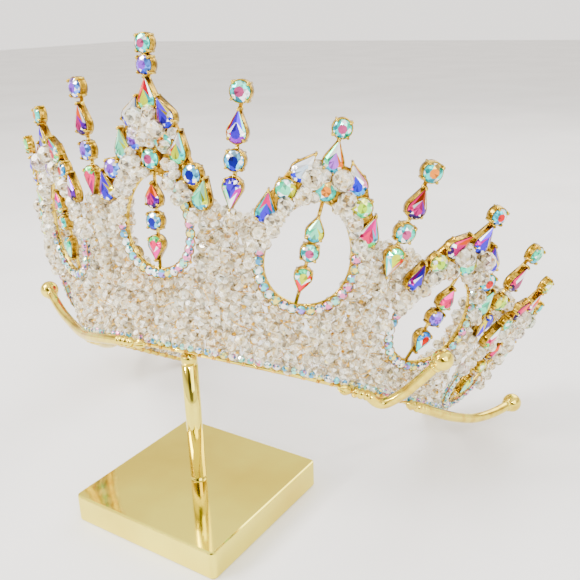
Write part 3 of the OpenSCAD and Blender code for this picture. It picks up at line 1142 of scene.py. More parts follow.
def side_seats(*glows: Glow) -> tuple[Seat, ...]:
    """Seats of a side arch.

    Args:
        glows: Colours of the centre round, round pair, leaning pair, low pair and the string's three.

    Returns:
        The seats, from the fan to the string.
    """
    g = list(glows)
    return (
        Seat(Stone.ROUND, 0, 1.24, 0, g[0]),
        Seat(Stone.ROUND, 0.90, 1.10, 0, g[1], g[2]),
        Seat(Stone.DROP, 0.60, 1.56, 26, g[3], g[4]),
        Seat(Stone.DROP, 1.24, 0.70, -5, g[5], g[6]),
        Seat(Stone.SMALL_DROP, 0, 0.50, 0, g[7]),
        Seat(Stone.SMALL_ROUND, 0, 0.05, 0, g[8]),
        Seat(Stone.SMALL_DROP, 0, -0.50, 180, g[9]),
    )


@dataclass(frozen=True)
class Arch(Tine):
    """One pierced arch: ring, fan of settings, finial and the string down its opening."""

    seed: ClassVar[int] = 100
    seats: tuple[Seat, ...]
    finial: tuple[Glow, ...]
    half_w: float = 11.5
    half_h: float = 14.8
    narrow: float = 0.14
    ring_w: float = 1.6
    stem_w: float = 1.8
    step: float = 5.5
    drop_step: float = 7.4
    fan: tuple[Point2, ...] = (
        (1.02, 0.40),
        (1.44, 0.46),
        (1.36, 0.92),
        (1.12, 1.26),
        (0.86, 1.76),
        (0.28, 1.84),
    )
    first_ring_stone: float = 188.0
    last_ring_stone: float = 352.0
    ring_stones: int = 17

    @property
    def place(self) -> Matrix:
        """Frame at the opening's centre."""
        return CROWN.arch_place(self.tine)

    @property
    def top(self) -> float:
        """Height of the top stone above the opening's centre."""
        return CROWN.tine_top(self.tine) - CROWN.arch_at(self.tine)

    def opening(self, grow: float, count: int = 48, start: float = 0.0, end: float = 360.0) -> list[Point2]:
        """Outline of the opening, grown by a distance."""
        return egg(self.half_w + grow, self.half_h + grow, self.narrow, count, start, end)

    def fan_outline(self, share: float = 1.0) -> list[Point2]:
        """Outline of the plate behind the fan of stones, drawn in to a share beyond the ring."""
        right = []
        for x, y in self.fan:
            across, up = x * self.half_w, y * self.half_h
            reach = math.hypot(across / self.half_w, up / self.half_h)
            pull = share + (1 - share) / max(reach, 1.0)
            right.append((across * pull, up * pull))
        left = [(-x, y) for x, y in reversed(right)]
        arc = [p for p in self.opening(0.4, 40, 180.0, 0.0) if p[1] > right[0][1] - 0.5]
        return right + left + arc

    def stones(self) -> list[tuple[Stone, Glow, Matrix]]:
        """Kind, colours and place of each stone, on the wall's mid surface."""
        found = []
        for seat in self.seats:
            for hand in (-1, 1) if seat.side else (1,):
                glow = seat.right if seat.side and hand > 0 else seat.left
                spot = Matrix.Translation((hand * seat.side * self.half_w, seat.up * self.half_h, 0))
                turn = Matrix.Rotation(math.radians(hand * seat.lean), 4, "Z")
                found.append((seat.kind, glow, self.place @ spot @ turn))
        rounds = self.finial[:-1]
        for k, glow in enumerate(rounds):
            spot = Matrix.Translation((0, self.top - k * self.step, 0))
            found.append((Stone.SMALL_ROUND, glow, self.place @ spot))
        low = self.top - (len(rounds) - 1) * self.step - self.drop_step
        found.append((Stone.DROP, self.finial[-1], self.place @ Matrix.Translation((0, low, 0))))
        return found

    def casting(self, material: bpy.types.Material) -> bpy.types.Object:
        """Builds the gold casting in place of its solid."""
        draft = MeshDraft()
        base, face = CROWN.cast_z, CROWN.cast_z + CROWN.cast_t
        middle = (base + face) / 2
        # The fan plate is painted darker: painted shade behind the stones.
        draft.tone = RECESS_SHADE
        draft.plate(self.fan_outline(0.88), base, face, self.place)
        draft.tone = BRIGHT
        ring = [Vector((x, y, middle)) for x, y in self.opening(self.ring_w / 2, 64)]
        draft.tube(ring, 0.62, 8, self.place, closed=True)
        for edge in (0.25, self.ring_w - 0.25):
            line = [Vector((x, y, middle)) for x, y in self.opening(edge, 64)]
            draft.tube(line, 0.34, 6, self.place, closed=True)
        stem = self.stem_w / 2
        draft.tube([(0, self.half_h, middle), (0, self.top, middle)], stem * 0.66, 10, self.place)
        string = self.half_h + 0.8
        draft.tube([(0, -string, middle), (0, string, middle)], stem * 0.6, 10, self.place)
        for kind, _, spot in self.stones():
            Setting(kind).add_to(draft, spot)
        for x, y in self._beading():
            draft.ball(Vector((x, y, face)), 0.55, self.place, 8)
        # The rings round the small stones are painted dark gold: painted shade.
        draft.tone = RECESS_SHADE
        for x, y in self._ring_line():
            cup = [Vector((x + px, y + py, face + 0.35)) for px, py in egg(1.5, 1.5, 0.0, 12)]
            draft.tube(cup, 0.22, 5, self.place, closed=True)
        piece = draft.build(f"{self.node}_casting", material)
        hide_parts(self.node)
        return piece

    def _beading(self) -> list[Point2]:
        """Grain balls round the upper half of the ring."""
        return [p for p in self.opening(self.ring_w / 2, 40) if p[1] > 0.25 * self.half_h]

    def bead_bed(self) -> Bed:
        """Bed for clear beads on the arch's shoulders and between its stones.

        Returns:
            Points in millimetres and faces that look outward.
        """
        room, height = 1.1, 3.4
        back = self.place.inverted()
        taken = []
        for kind, _, spot in self.stones():
            local = back @ spot
            corners = [local @ Vector((x, y, 0)) for x, y in kind.outline(room, 16)]
            taken.append([(c.x, c.y) for c in corners])
        fan, ring = self.fan_outline(0.75), self.opening(4.2, 32)
        edge, stones_edge = self.opening(1.0, 32), self.opening(3.8, 32)
        points, faces = [], []
        reach_x, low, high = 22, -6, 40
        for y in range(low, high):
            for x in range(-reach_x, reach_x):
                here = (x + 0.5, y + 0.5)
                wanted = inside(fan, *here) or inside(ring, *here)
                limit = stones_edge if self.by_ring_stones(*here) else edge
                if not wanted or inside(limit, *here) or any(inside(shape, *here) for shape in taken):
                    continue
                base = len(points)
                corners = ((x, y), (x + 1, y), (x + 1, y + 1), (x, y + 1))
                points += [self.place @ Vector((a, b, height)) for a, b in corners]
                faces.append((base, base + 1, base + 2, base + 3))
        return points, faces

    def ring_places(self) -> list[tuple[Vector, Vector]]:
        """Places and outward directions of the small stones on the ring."""
        out = self.place.to_3x3() @ Vector((0, 0, 1))
        height = CROWN.cast_z + CROWN.cast_t + 0.25
        return [(self.place @ Vector((x, y, height)), out) for x, y in self._ring_line()]

    def _ring_line(self) -> list[Point2]:
        """Places of the small stones on the ring."""
        return self.opening(self.ring_w, self.ring_stones, self.first_ring_stone, self.last_ring_stone)

    def by_ring_stones(self, x: float, y: float) -> bool:
        """Tells whether a place lies beside the ring's small stones."""
        past = 8.0
        angle = math.degrees(math.atan2(y / self.half_h, x / self.half_w)) % 360.0
        return angle > self.first_ring_stone - past or angle < self.last_ring_stone - 360.0 + past


@dataclass(frozen=True)
class Spike(Tine):
    """A stem with a round, a drop, a round and a hung drop stone."""

    seed: ClassVar[int] = 300
    glows: tuple[Glow, Glow, Glow, Glow]
    step: float = 8.9
    stem_w: float = 1.8

    @property
    def place(self) -> Matrix:
        """Frame at the top stone."""
        return CROWN.spike_place(self.tine)

    def stones(self) -> list[tuple[Stone, Glow, Matrix]]:
        """Kind, colours and place of each stone, on the wall's mid surface."""
        kinds = (Stone.ROUND, Stone.DROP, Stone.ROUND, Stone.DROP)
        found = []
        for k, (kind, glow) in enumerate(zip(kinds, self.glows)):
            turn = Matrix.Rotation(math.pi if k == 3 else 0.0, 4, "Z")
            found.append((kind, glow, self.place @ Matrix.Translation((0, -k * self.step, 0)) @ turn))
        return found

    def casting(self, material: bpy.types.Material) -> bpy.types.Object:
        """Builds the gold casting in place of its solid."""
        draft = MeshDraft()
        middle = CROWN.cast_z + CROWN.cast_t / 2
        foot = CROWN.tine_top(self.tine) - CROWN.band_h / 2
        draft.tube([(0, -foot, middle), (0, 0, middle)], self.stem_w * 0.33, 10, self.place)
        for kind, _, spot in self.stones():
            Setting(kind).add_to(draft, spot)
        for k in range(3):
            draft.ball(Vector((0, -(k + 0.5) * self.step, middle + 0.2)), 0.85, self.place, 10)
        piece = draft.build(f"{self.node}_casting", material)
        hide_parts(self.node)
        return piece


# Growing what repeats


FULL_TURN = 6.2832


class Grower:
    """Builds a Geometry Nodes tree and turns its result into a plain mesh."""

    def __init__(self, name: str, inputs: dict[str, str]) -> None:
        """Starts a tree.

        Args:
            name: Its name.
            inputs: Its inputs after the geometry: name to socket type.
        """
        self.tree = bpy.data.node_groups.new(name, "GeometryNodeTree")
        face = self.tree.interface
        face.new_socket("Geometry", in_out="INPUT", socket_type="NodeSocketGeometry")
        self.keys = {}
        for key, kind in inputs.items():
            self.keys[key] = face.new_socket(key, in_out="INPUT", socket_type=kind).identifier
        face.new_socket("Geometry", in_out="OUTPUT", socket_type="NodeSocketGeometry")
        self.entry = self.tree.nodes.new("NodeGroupInput")
        self.exit = self.tree.nodes.new("NodeGroupOutput")

    def read(self, key: str) -> bpy.types.NodeSocket:
        """The socket of one input of the tree."""
        return self.entry.outputs[key]

    def node(
        self,
        kind: str,
        settings: dict[str, object],
        sockets: dict[Union[int, str], object],
    ) -> bpy.types.Node:
        """Adds a node.

        Args:
            kind: Its type.
            settings: Its properties, set first.
            sockets: Values or links of its inputs, by name or place.

        Returns:
            The node.
        """
        made = self.tree.nodes.new(kind)
        for key, value in settings.items():
            setattr(made, key, value)
        for key, value in sockets.items():
            if isinstance(value, bpy.types.NodeSocket):
                self.tree.links.new(value, made.inputs[key])
            else:
                made.inputs[key].default_value = value
        return made

    def luck(self, low: float, high: float, seed: int, vector: bool = False) -> bpy.types.NodeSocket:
        """A random number or vector for each point, with a fixed seed."""
        if vector:
            sockets = {0: (low, low, low), 1: (high, high, high), 8: seed}
            return self.node("FunctionNodeRandomValue", {"data_type": "FLOAT_VECTOR"}, sockets).outputs[0]
        sockets = {2: low, 3: high, 8: seed}
        return self.node("FunctionNodeRandomValue", {"data_type": "FLOAT"}, sockets).outputs[1]

    def arithmetic(self, operation: str, *values: object) -> bpy.types.NodeSocket:
        """The result of a sum on numbers or sockets."""
        return self.node("ShaderNodeMath", {"operation": operation}, dict(enumerate(values))).outputs[0]

    def string(
        self,
        points: bpy.types.NodeSocket,
        pattern: str,
        turn: bpy.types.NodeSocket,
        size: bpy.types.NodeSocket,
    ) -> None:
        """Ends the tree in a copy of an object on each point, each with its own shade.

        Args:
            points: The points.
            pattern: Name of the input that holds the object.
            turn: Turn of each copy.
            size: Size of each copy.
        """
        bead = self.node("GeometryNodeObjectInfo", {}, {"Object": self.read(pattern), "As Instance": True})
        places = {"Points": points, "Instance": bead.outputs["Geometry"], "Rotation": turn, "Scale": size}
        strung = self.node("GeometryNodeInstanceOnPoints", {}, places)
        kind = {"data_type": "FLOAT", "domain": "INSTANCE"}
        shade = {"Geometry": strung.outputs[0], "Name": "shade", "Value": self.luck(0.0, 1.0, 7)}
        self.end(self.node("GeometryNodeStoreNamedAttribute", kind, shade).outputs[0])

    def end(self, geometry: bpy.types.NodeSocket) -> None:
        """Ends the tree in real geometry with its material."""
        real = self.node("GeometryNodeRealizeInstances", {}, {0: geometry})
        dress = {"Geometry": real.outputs[0], "Material": self.read("Material")}
        dressed = self.node("GeometryNodeSetMaterial", {}, dress)
        self.tree.links.new(dressed.outputs[0], self.exit.inputs[0])

    def grow(self, host: bpy.types.Object, values: dict[str, object]) -> bpy.types.Object:
        """Runs the tree on a host object and keeps the result as the host's own mesh.

        Args:
            host: The object that the tree starts from.
            values: Values of the tree's inputs.

        Returns:
            The host, with a plain mesh.
        """
        modifier = host.modifiers.new(self.tree.name, "NODES")
        modifier.node_group = self.tree
        for key, value in values.items():
            modifier[self.keys[key]] = value
        graph = bpy.context.evaluated_depsgraph_get()
        grown = host.evaluated_get(graph)
        done = bpy.data.meshes.new_from_object(grown, preserve_all_data_layers=True, depsgraph=graph)
        host.modifiers.clear()
        old = host.data
        host.data = done
        done.name = host.name
        bpy.data.meshes.remove(old)
        return host


def scatter_tree() -> Grower:
    """Tree that scatters beads over a surface, a given distance apart."""
    lengths = ("Spacing", "Lift", "Unevenness", "Smallest", "Largest")
    kinds = {"Bead": "NodeSocketObject", **{name: "NodeSocketFloat" for name in lengths}}
    kinds |= {"Seed": "NodeSocketInt", "Material": "NodeSocketMaterial"}
    grower = Grower("bead_scatter", kinds)
    surface = {
        "Mesh": grower.read("Geometry"),
        "Distance Min": grower.read("Spacing"),
        "Density Max": 600000.0,
        "Seed": grower.read("Seed"),
    }
    points = grower.node("GeometryNodeDistributePointsOnFaces", {"distribute_method": "POISSON"}, surface)
    wander = grower.arithmetic("MULTIPLY", grower.luck(-1.0, 1.0, 11), grower.read("Unevenness"))
    lift = grower.arithmetic("ADD", wander, grower.read("Lift"))
    push = {0: points.outputs["Normal"], "Scale": lift}
    away = grower.node("ShaderNodeVectorMath", {"operation": "SCALE"}, push)
    shift = {"Geometry": points.outputs["Points"], "Offset": away.outputs[0]}
    moved = grower.node("GeometryNodeSetPosition", {}, shift)
    spin = grower.node("FunctionNodeEulerToRotation", {}, {0: grower.luck(0.0, FULL_TURN, 5, True)})
    span = grower.arithmetic("SUBTRACT", grower.read("Largest"), grower.read("Smallest"))
    size = grower.arithmetic("MULTIPLY_ADD", grower.luck(0.0, 1.0, 3), span, grower.read("Smallest"))
    grower.string(moved.outputs[0], "Bead", spin.outputs[0], size)
    return grower


def row_tree() -> Grower:
    """Tree that sets a stone on each point of its host, as wide as "size" and facing the way in "out"."""
    kinds = {"Stone": "NodeSocketObject", "Material": "NodeSocketMaterial"}
    grower = Grower("stone_row", kinds)
    points = grower.node("GeometryNodeMeshToPoints", {"mode": "VERTICES"}, {"Mesh": grower.read("Geometry")})
    out = grower.node("GeometryNodeInputNamedAttribute", {"data_type": "FLOAT_VECTOR"}, {"Name": "out"})
    facing = grower.node("FunctionNodeAlignRotationToVector", {"axis": "Z"}, {"Vector": out.outputs[0]})
    turn = {"Axis": (0.0, 0.0, 1.0), "Angle": grower.luck(0.0, FULL_TURN, 5)}
    spin = grower.node("FunctionNodeAxisAngleToRotation", {}, turn)
    both = {"Rotation": facing.outputs[0], "Rotate By": spin.outputs[0]}
    turned = grower.node("FunctionNodeRotateRotation", {"rotation_space": "LOCAL"}, both)
    size = grower.node("GeometryNodeInputNamedAttribute", {"data_type": "FLOAT"}, {"Name": "size"})
    grower.string(points.outputs[0], "Stone", turned.outputs[0], size.outputs[0])
    return grower


def wire_tree() -> Grower:
    """Tree that turns a host's edges into fine wire."""
    grower = Grower("wire_net", {"Radius": "NodeSocketFloat", "Material": "NodeSocketMaterial"})
    lines = grower.node("GeometryNodeMeshToCurve", {}, {"Mesh": grower.read("Geometry")})
    circle_of = {"Resolution": 4, "Radius": grower.read("Radius")}
    section = grower.node("GeometryNodeCurvePrimitiveCircle", {"mode": "RADIUS"}, circle_of)
    sweep = {"Curve": lines.outputs[0], "Profile Curve": section.outputs[0]}
    wire = grower.node("GeometryNodeCurveToMesh", {}, sweep)
    grower.end(wire.outputs[0])
    return grower


def host_of(
    name: str,
    points: Sequence[Vector],
    faces: Sequence[Sequence[int]] = (),
    edges: Sequence[tuple[int, int]] = (),
) -> bpy.types.Object:
    """Makes the object that a tree starts from.

    Args:
        name: The piece's name.
        points: Its points in millimetres.
        faces: Its faces.
        edges: Its loose edges.

    Returns:
        The object.
    """
    mesh = bpy.data.meshes.new(f"{name}_host")
    mesh.from_pydata([Vector(p) * MM for p in points], list(edges), list(faces))
    piece = bpy.data.objects.new(name, mesh)
    bpy.context.scene.collection.objects.link(piece)
    return piece


# The bead wall


@dataclass(frozen=True)
class BeadShape:
    """Facets of a round bead: rings of corners, each turned half a step."""

    sides: int = 6
    levels: tuple[Point2, ...] = ((0.42, -0.92), (0.94, -0.40), (0.94, 0.40), (0.42, 0.92))

    def make(self, name: str, seed: int) -> bpy.types.Object:
        """Makes one bead of radius one, with a random number on each facet.

        Args:
            name: Its name.
            seed: Seed of its facets' numbers.

        Returns:
            The bead, kept only while beads are strung.
        """
        points, faces = [], []
        for j, (r, z) in enumerate(self.levels):
            points += [(r * c, r * s, z) for c, s in circle(self.sides, 0.5 * (j % 2))]
        for j in range(len(self.levels) - 1):
            low, high = j * self.sides, (j + 1) * self.sides
            for k in range(self.sides):
                after = (k + 1) % self.sides
                if j % 2 == 0:
                    faces += [(low + k, low + after, high + k), (high + k, low + after, high + after)]
                else:
                    faces += [(low + k, high + after, high + k), (low + k, low + after, high + after)]
        faces.append(tuple(range(self.sides - 1, -1, -1)))
        last = (len(self.levels) - 1) * self.sides
        faces.append(tuple(last + k for k in range(self.sides)))
        mesh = bpy.data.meshes.new(name)
        mesh.from_pydata(points, [], faces)
        luck = random.Random(seed)
        facet = mesh.attributes.new("facet", "FLOAT", "FACE")
        facet.data.foreach_set("value", [luck.random() for _ in faces])
        bead = bpy.data.objects.new(name, mesh)
        bpy.context.scene.collection.objects.link(bead)
        return bead


LARGE_BEAD = BeadShape(8, ((0.4, -0.94), (0.82, -0.62), (0.99, -0.2), (0.99, 0.2), (0.82, 0.62), (0.4, 0.94)))
CRIMP = BeadShape(5, ((0.5, -0.8), (1.0, 0.0), (0.5, 0.8)))
CHATON = BeadShape(8, ((0.7, -0.7), (1.0, -0.1), (1.0, 0.15), (0.55, 0.6)))


@dataclass(frozen=True)
class Scatter:
    """How beads lie on a surface: millimetres, with the beads' sizes as radii."""

    spacing: float
    lift: float
    unevenness: float
    smallest: float
    largest: float

    def strew(
        self,
        tree: Grower,
        bead: bpy.types.Object,
        host: bpy.types.Object,
        seed: int,
        finish: bpy.types.Material,
    ) -> bpy.types.Object:
        """Strews beads over the faces of a host.

        Args:
            tree: The scatter tree.
            bead: The bead.
            host: The object whose faces take the beads.
            seed: Seed of their places.
            finish: Their material.

        Returns:
            The host, with the beads as its mesh.
        """
        lengths = {name.capitalize(): value * MM for name, value in vars(self).items()}
        return tree.grow(host, {"Bead": bead, **lengths, "Seed": seed, "Material": finish})


def set_row(
    name: str,
    row: Sequence[tuple[Vector, Vector, float]],
    shape: BeadShape,
    seed: int,
    finish: bpy.types.Material,
) -> bpy.types.Object:
    """Sets a bead or stone on each place of a row.

    Args:
        name: The piece's name.
        row: Place, outward direction and radius of each one, in millimetres.
        shape: Its facets.
        seed: Seed of its facets' numbers.
        finish: Its material.

    Returns:
        The piece.
    """
    host = host_of(name, [place for place, _, _ in row])
    out = host.data.attributes.new("out", "FLOAT_VECTOR", "POINT")
    out.data.foreach_set("vector", [part for _, way, _ in row for part in way])
    size = host.data.attributes.new("size", "FLOAT", "POINT")
    size.data.foreach_set("value", [radius * MM for _, _, radius in row])
    pattern = shape.make(f"{name}_pattern", seed)
    piece = row_tree().grow(host, {"Stone": pattern, "Material": finish})
    bpy.data.objects.remove(pattern)
    return piece


@dataclass(frozen=True)
class BeadWall:
    """The flared wall of wired clear beads."""

    arches: tuple[Arch, ...]
    spacing: float = 2.9
    cell_angle: float = 1.5
    cell_h: float = 1.5
    margin: float = 1.6
    smallest: float = 1.6
    largest: float = 2.05
    wire_d: float = 0.28

    @property
    def columns(self) -> int:
        """Number of cells round the crown."""
        return int((2 * CROWN.half_span - 4) / self.cell_angle)

    def surface(self, low: float, high: float, ring_room: float, fan_room: bool) -> Bed:
        """Part of the wall's mid surface that takes beads.

        Args:
            low: Lowest height up the slope.
            high: Height of its upper edge.
            ring_room: Distance kept clear round each opening's edge.
            fan_room: Whether the fans of stones are kept clear too.

        Returns:
            Points in millimetres and faces that look outward.
        """
        columns = self.columns
        rows = int((high - low) / self.cell_h)
        points, faces = [], []
        for j in range(rows + 1):
            for i in range(columns + 1):
                points.append(CROWN.on_wall(self._angle(i)) @ Vector((0, low + j * self.cell_h, 0)))
        for j in range(rows):
            for i in range(columns):
                angle, height = self._angle(i + 0.5), low + (j + 0.5) * self.cell_h
                if self._clear(angle, height, ring_room, fan_room):
                    base = j * (columns + 1) + i
                    faces.append((base, base + 1, base + columns + 2, base + columns + 1))
        return points, faces

    def _angle(self, column: float) -> float:
        """Degrees round the crown of a column of cells."""
        reach = CROWN.half_span - 2
        return -reach + 2 * reach * column / self.columns

    def _clear(self, angle: float, height: float, ring_room: float, fan_room: bool) -> bool:
        """Tells whether a place on the wall is free of openings and fans."""
        for arch in self.arches:
            away = math.radians(angle - arch.tine * CROWN.tine_step)
            if abs(away) > 0.5:
                continue
            radius = CROWN.rim_r + height * math.sin(math.radians(CROWN.flare))
            x, y = radius * math.tan(away), height - CROWN.arch_at(arch.tine)
            beside = arch.by_ring_stones(x, y)
            room = ring_room if beside or not fan_room else 1.4
            if beside and y > 0:
                room += 0.6
            if inside(arch.opening(room, 32), x, y):
                return False
            if fan_room and inside(arch.fan_outline(), x, y):
                return False
        return True

    def build(
        self,
        scatter: Grower,
        crystal: bpy.types.Material,
        wire: bpy.types.Material,
    ) -> list[bpy.types.Object]:
        """Strings the beads on both faces, with the gold net between them."""
        beads = BeadShape().make("bead_pattern", 4)
        made = []
        layers = (("wall_beads_outer", 1.3, 21, 3.1, True), ("wall_beads_inner", -0.9, 22, 2.4, False))
        for name, lift, seed, room, fan_room in layers:
            host = host_of(name, *self.surface(1.2, CROWN.band_h - 0.8, room, fan_room))
            lie = Scatter(self.spacing, lift, 0.45, self.smallest, self.largest)
            made.append(lie.strew(scatter, beads, host, seed, crystal))
        made.append(self._net(wire))
        made.append(self._crimps(scatter, wire))
        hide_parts("bead_wall")
        bpy.data.objects.remove(beads)
        return made

    def _net(self, wire: bpy.types.Material) -> bpy.types.Object:
        """Weaves the net of gold wire that holds the beads."""
        points, faces = self.surface(0.4, CROWN.band_h - 1.0, self.margin, False)
        luck = random.Random(8)
        edges = set()
        for a, b, c, d in faces:
            if luck.random() < 0.42:
                edges.add((a, c) if luck.random() < 0.5 else (b, d))
            if luck.random() < 0.25:
                edges.add((a, b))
        shifted = []
        for k, point in enumerate(points):
            away = Vector([luck.uniform(-1, 1) for _ in range(3)])
            out = CROWN.on_wall(self._angle(k % (self.columns + 1))).to_3x3() @ Vector((0, 0, 1))
            shifted.append(point + away * 0.8 + out * luck.uniform(-1.2, 3.0))
        used = sorted({k for edge in edges for k in edge})
        number = {k: n for n, k in enumerate(used)}
        joins = [(number[a], number[b]) for a, b in edges]
        host = host_of("wall_wire", [shifted[k] for k in used], (), joins)
        return wire_tree().grow(host, {"Radius": self.wire_d / 2 * MM, "Material": wire})

    def _crimps(self, scatter: Grower, wire: bpy.types.Material) -> bpy.types.Object:
        """Sets the small gold beads between the clear ones."""
        bead = CRIMP.make("crimp_pattern", 9)
        host = host_of("wall_crimps", *self.surface(1.2, CROWN.band_h - 2, self.margin, False))
        piece = Scatter(5.2, 1.5, 0.7, 0.5, 0.8).strew(scatter, bead, host, 31, wire)
        bpy.data.objects.remove(bead)
        return piece


@dataclass(frozen=True)
class ShoulderBead:
    """A large clear bead beside an arch, in the arch's own frame."""

    x: float
    y: float
    d: float
    z: float


SHOULDERS = (
    ShoulderBead(-4.2, 21.0, 6.2, 5.4),
    ShoulderBead(3.5, 22.2, 6.0, 5.4),
    ShoulderBead(-5.2, 15.6, 5.0, 4.6),
    ShoulderBead(6.0, 17.4, 5.2, 4.8),
    ShoulderBead(-9.4, 12.2, 4.8, 4.4),
    ShoulderBead(9.6, 11.6, 5.0, 4.4),
    ShoulderBead(-12.2, 7.4, 4.4, 4.2),
    ShoulderBead(12.6, 6.2, 4.6, 4.2),
)
FRONT_SHOULDERS = (
    ShoulderBead(-3.6, 29.2, 5.2, 5.4),
    ShoulderBead(3.2, 26.0, 5.4, 5.4),
    ShoulderBead(-1.4, 23.4, 4.4, 5.0),
    ShoulderBead(1.0, 30.6, 4.0, 5.0),
    ShoulderBead(-4.6, 25.0, 4.2, 4.4),
    ShoulderBead(5.4, 21.6, 4.2, 4.4),
    ShoulderBead(11.6, 8.8, 3.6, 4.3),
    ShoulderBead(7.6, 16.6, 3.4, 4.3),
    ShoulderBead(-6.6, 19.4, 3.4, 4.3),
    ShoulderBead(-7.0, 16.6, 4.8, 4.6),
    ShoulderBead(5.6, 11.4, 4.6, 4.2),
    ShoulderBead(-10.4, 10.2, 4.6, 4.4),
    ShoulderBead(8.6, 7.6, 4.4, 4.2),
)


def shoulder_beads(arch: Arch, crystal: bpy.types.Material) -> bpy.types.Object:
    """Sets the large clear beads on an arch's shoulders."""
    beads = list(SHOULDERS if arch.tine else FRONT_SHOULDERS)
    luck = random.Random(500 + arch.tine)
    for start, end in ((arch.last_ring_stone - 364, 66), (114, 192)):
        for x, y in arch.opening(1.9, round((end - start) / 11), start, end):
            beads.append(ShoulderBead(x, y, luck.uniform(3.2, 3.9), luck.uniform(3.7, 4.3)))
    out = arch.place.to_3x3() @ Vector((0.5, 0.5, 0.7))
    row = [(arch.place @ Vector((b.x, b.y, b.z)), out, b.d / 2) for b in beads]
    return set_row(f"{arch.node}_large_beads", row, LARGE_BEAD, 5, crystal)


def stem_beads(spikes: Sequence[Spike], crystal: bpy.types.Material) -> bpy.types.Object:
    """Strings clear beads over the feet of the spikes' stems."""
    luck = random.Random(77)
    row = []
    for spike in spikes:
        top = CROWN.tine_top(spike.tine) - 3 * spike.step - 5.6
        low = CROWN.band_h / 2 - 2.0
        count = round((top - low) / 2.1)
        for k in range(count + 1):
            up = top - (top - low) * k / count - CROWN.tine_top(spike.tine)
            spot = Vector((luck.uniform(-0.7, 0.7), up, 3.7 + luck.uniform(-0.3, 0.4)))
            way = Vector((luck.uniform(-1, 1), luck.uniform(-1, 1), 1)).normalized()
            row.append((spike.place @ spot, spike.place.to_3x3() @ way, luck.uniform(1.6, 2.0)))
    return set_row("stem_beads", row, BeadShape(7), 16, crystal)


def fan_beads(arch: Arch, scatter: Grower, crystal: bpy.types.Material) -> bpy.types.Object:
    """Fills an arch's shoulders and the gaps between its stones with clear beads."""
    pattern = BeadShape(7).make("fan_bead_pattern", 6)
    host = host_of(f"{arch.node}_fan_beads", *arch.bead_bed())
    piece = Scatter(2.7, 0.9, 0.5, 1.6, 2.2).strew(scatter, pattern, host, 40 + arch.tine, crystal)
    bpy.data.objects.remove(pattern)
    return piece


def small_stones(
    name: str,
    places: Sequence[tuple[Vector, Vector]],
    low: float,
    high: float,
    finish: bpy.types.Material,
) -> bpy.types.Object:
    """Sets a row of small coated stones.

    Args:
        name: The piece's name.
        places: Place and outward direction of each stone.
        low: Smallest radius in millimetres.
        high: Largest radius in millimetres.
        finish: The stones' material.

    Returns:
        The piece.
    """
    luck = random.Random(len(places))
    row = [(spot, way, luck.uniform(low, high)) for spot, way in places]
    return set_row(name, row, CHATON, 12, finish)


# Rim, scrolls and stand


@dataclass(frozen=True)
class Rim:
    """The bar under the wall, its feet, its wire ties and the row of small stones above it."""

    tie_step: float = 4.0
    stone_step: float = 2.5
    stone_up: float = 1.5
    stone_out: float = 2.5

    def bar(self, gold: bpy.types.Material) -> bpy.types.Object:
        """Builds the bar and its feet in place of their solid."""
        draft = MeshDraft()
        place = CROWN.on_stand()
        half = CROWN.half_span
        line = []
        for k in range(145):
            a = math.radians(-half + 2 * half * k / 144)
            line.append(Vector((CROWN.bar_r * math.sin(a), -CROWN.bar_r * math.cos(a), CROWN.bar_z)))
        draft.tube(line, CROWN.rim_bar_d / 2, 12, place)
        for end in (line[0], line[-1]):
            draft.ball(end, CROWN.foot_d / 2, place, 24)
        piece = draft.build("rim_bar_round", gold)
        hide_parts("rim_bar")
        return piece

    def ties(self, wire: bpy.types.Material) -> bpy.types.Object:
        """Builds the turns of wire that tie the wall to the bar."""
        draft = MeshDraft()
        count = int(2 * (CROWN.half_span - 4) / self.tie_step)
        drop = CROWN.bar_drop
        for k in range(count):
            place = CROWN.on_wall(-CROWN.half_span + 4 + (k + 0.5) * self.tie_step)
            for shift in (-0.3, 0.3):
                ring = [Vector((shift + 0.15 * s, -drop + 1.1 * c + 0.35, 1.1 * s)) for c, s in circle(12)]
                draft.tube(ring, 0.2, 5, place, closed=True)
        return draft.build("rim_wire_ties", wire)

    def stone_places(self) -> list[tuple[Vector, Vector]]:
        """Places and outward directions of the stones along the rim."""
        step = math.degrees(self.stone_step / CROWN.rim_r)
        count = int(2 * (CROWN.half_span - 5) / step)
        places = []
        for k in range(count + 1):
            place = CROWN.on_wall(-CROWN.half_span + 5 + k * step)
            out = place.to_3x3() @ Vector((0, -0.35, 1)).normalized()
            places.append((place @ Vector((0, self.stone_up, self.stone_out)), out))
        return places


class Path(Enum):
    """Paths of a scroll's tube: share of the way, of the distance out and of the rise."""

    LONG = (
        (0, 0, -0.05),
        (0.30, 0, -0.09),
        (0.52, 0.03, -0.04),
        (0.72, 0.20, 0.17),
        (0.88, 0.56, 0.48),
        (1, 1, 1),
    )
    SHORT = (
        (0, 0, -0.08),
        (0.40, 0.02, -0.18),
        (0.70, 0.12, -0.16),
        (0.88, 0.36, 0.08),
        (0.97, 0.66, 0.48),
        (1, 1, 1),
    )
    BACK = (
        (0, 0.04, -0.10),
        (0.25, 0.20, -0.14),
        (0.46, 0.38, -0.10),
        (0.66, 0.58, 0.04),
        (0.85, 0.80, 0.42),
        (1, 1, 1),
    )

    def at(self, row: int, share: float) -> list[float]:
        """A point of the smooth curve through the path's rows."""
        rows = self.value
        last = len(rows) - 1
        picks = [rows[max(row - 1, 0)], rows[row], rows[min(row + 1, last)], rows[min(row + 2, last)]]
        found = []
        for a, b, c, d in zip(*picks):
            square = 2 * a - 5 * b + 4 * c - d
            cube = 3 * b - a - 3 * c + d
            found.append(b + 0.5 * ((c - a) * share + square * share**2 + cube * share**3))
        return found


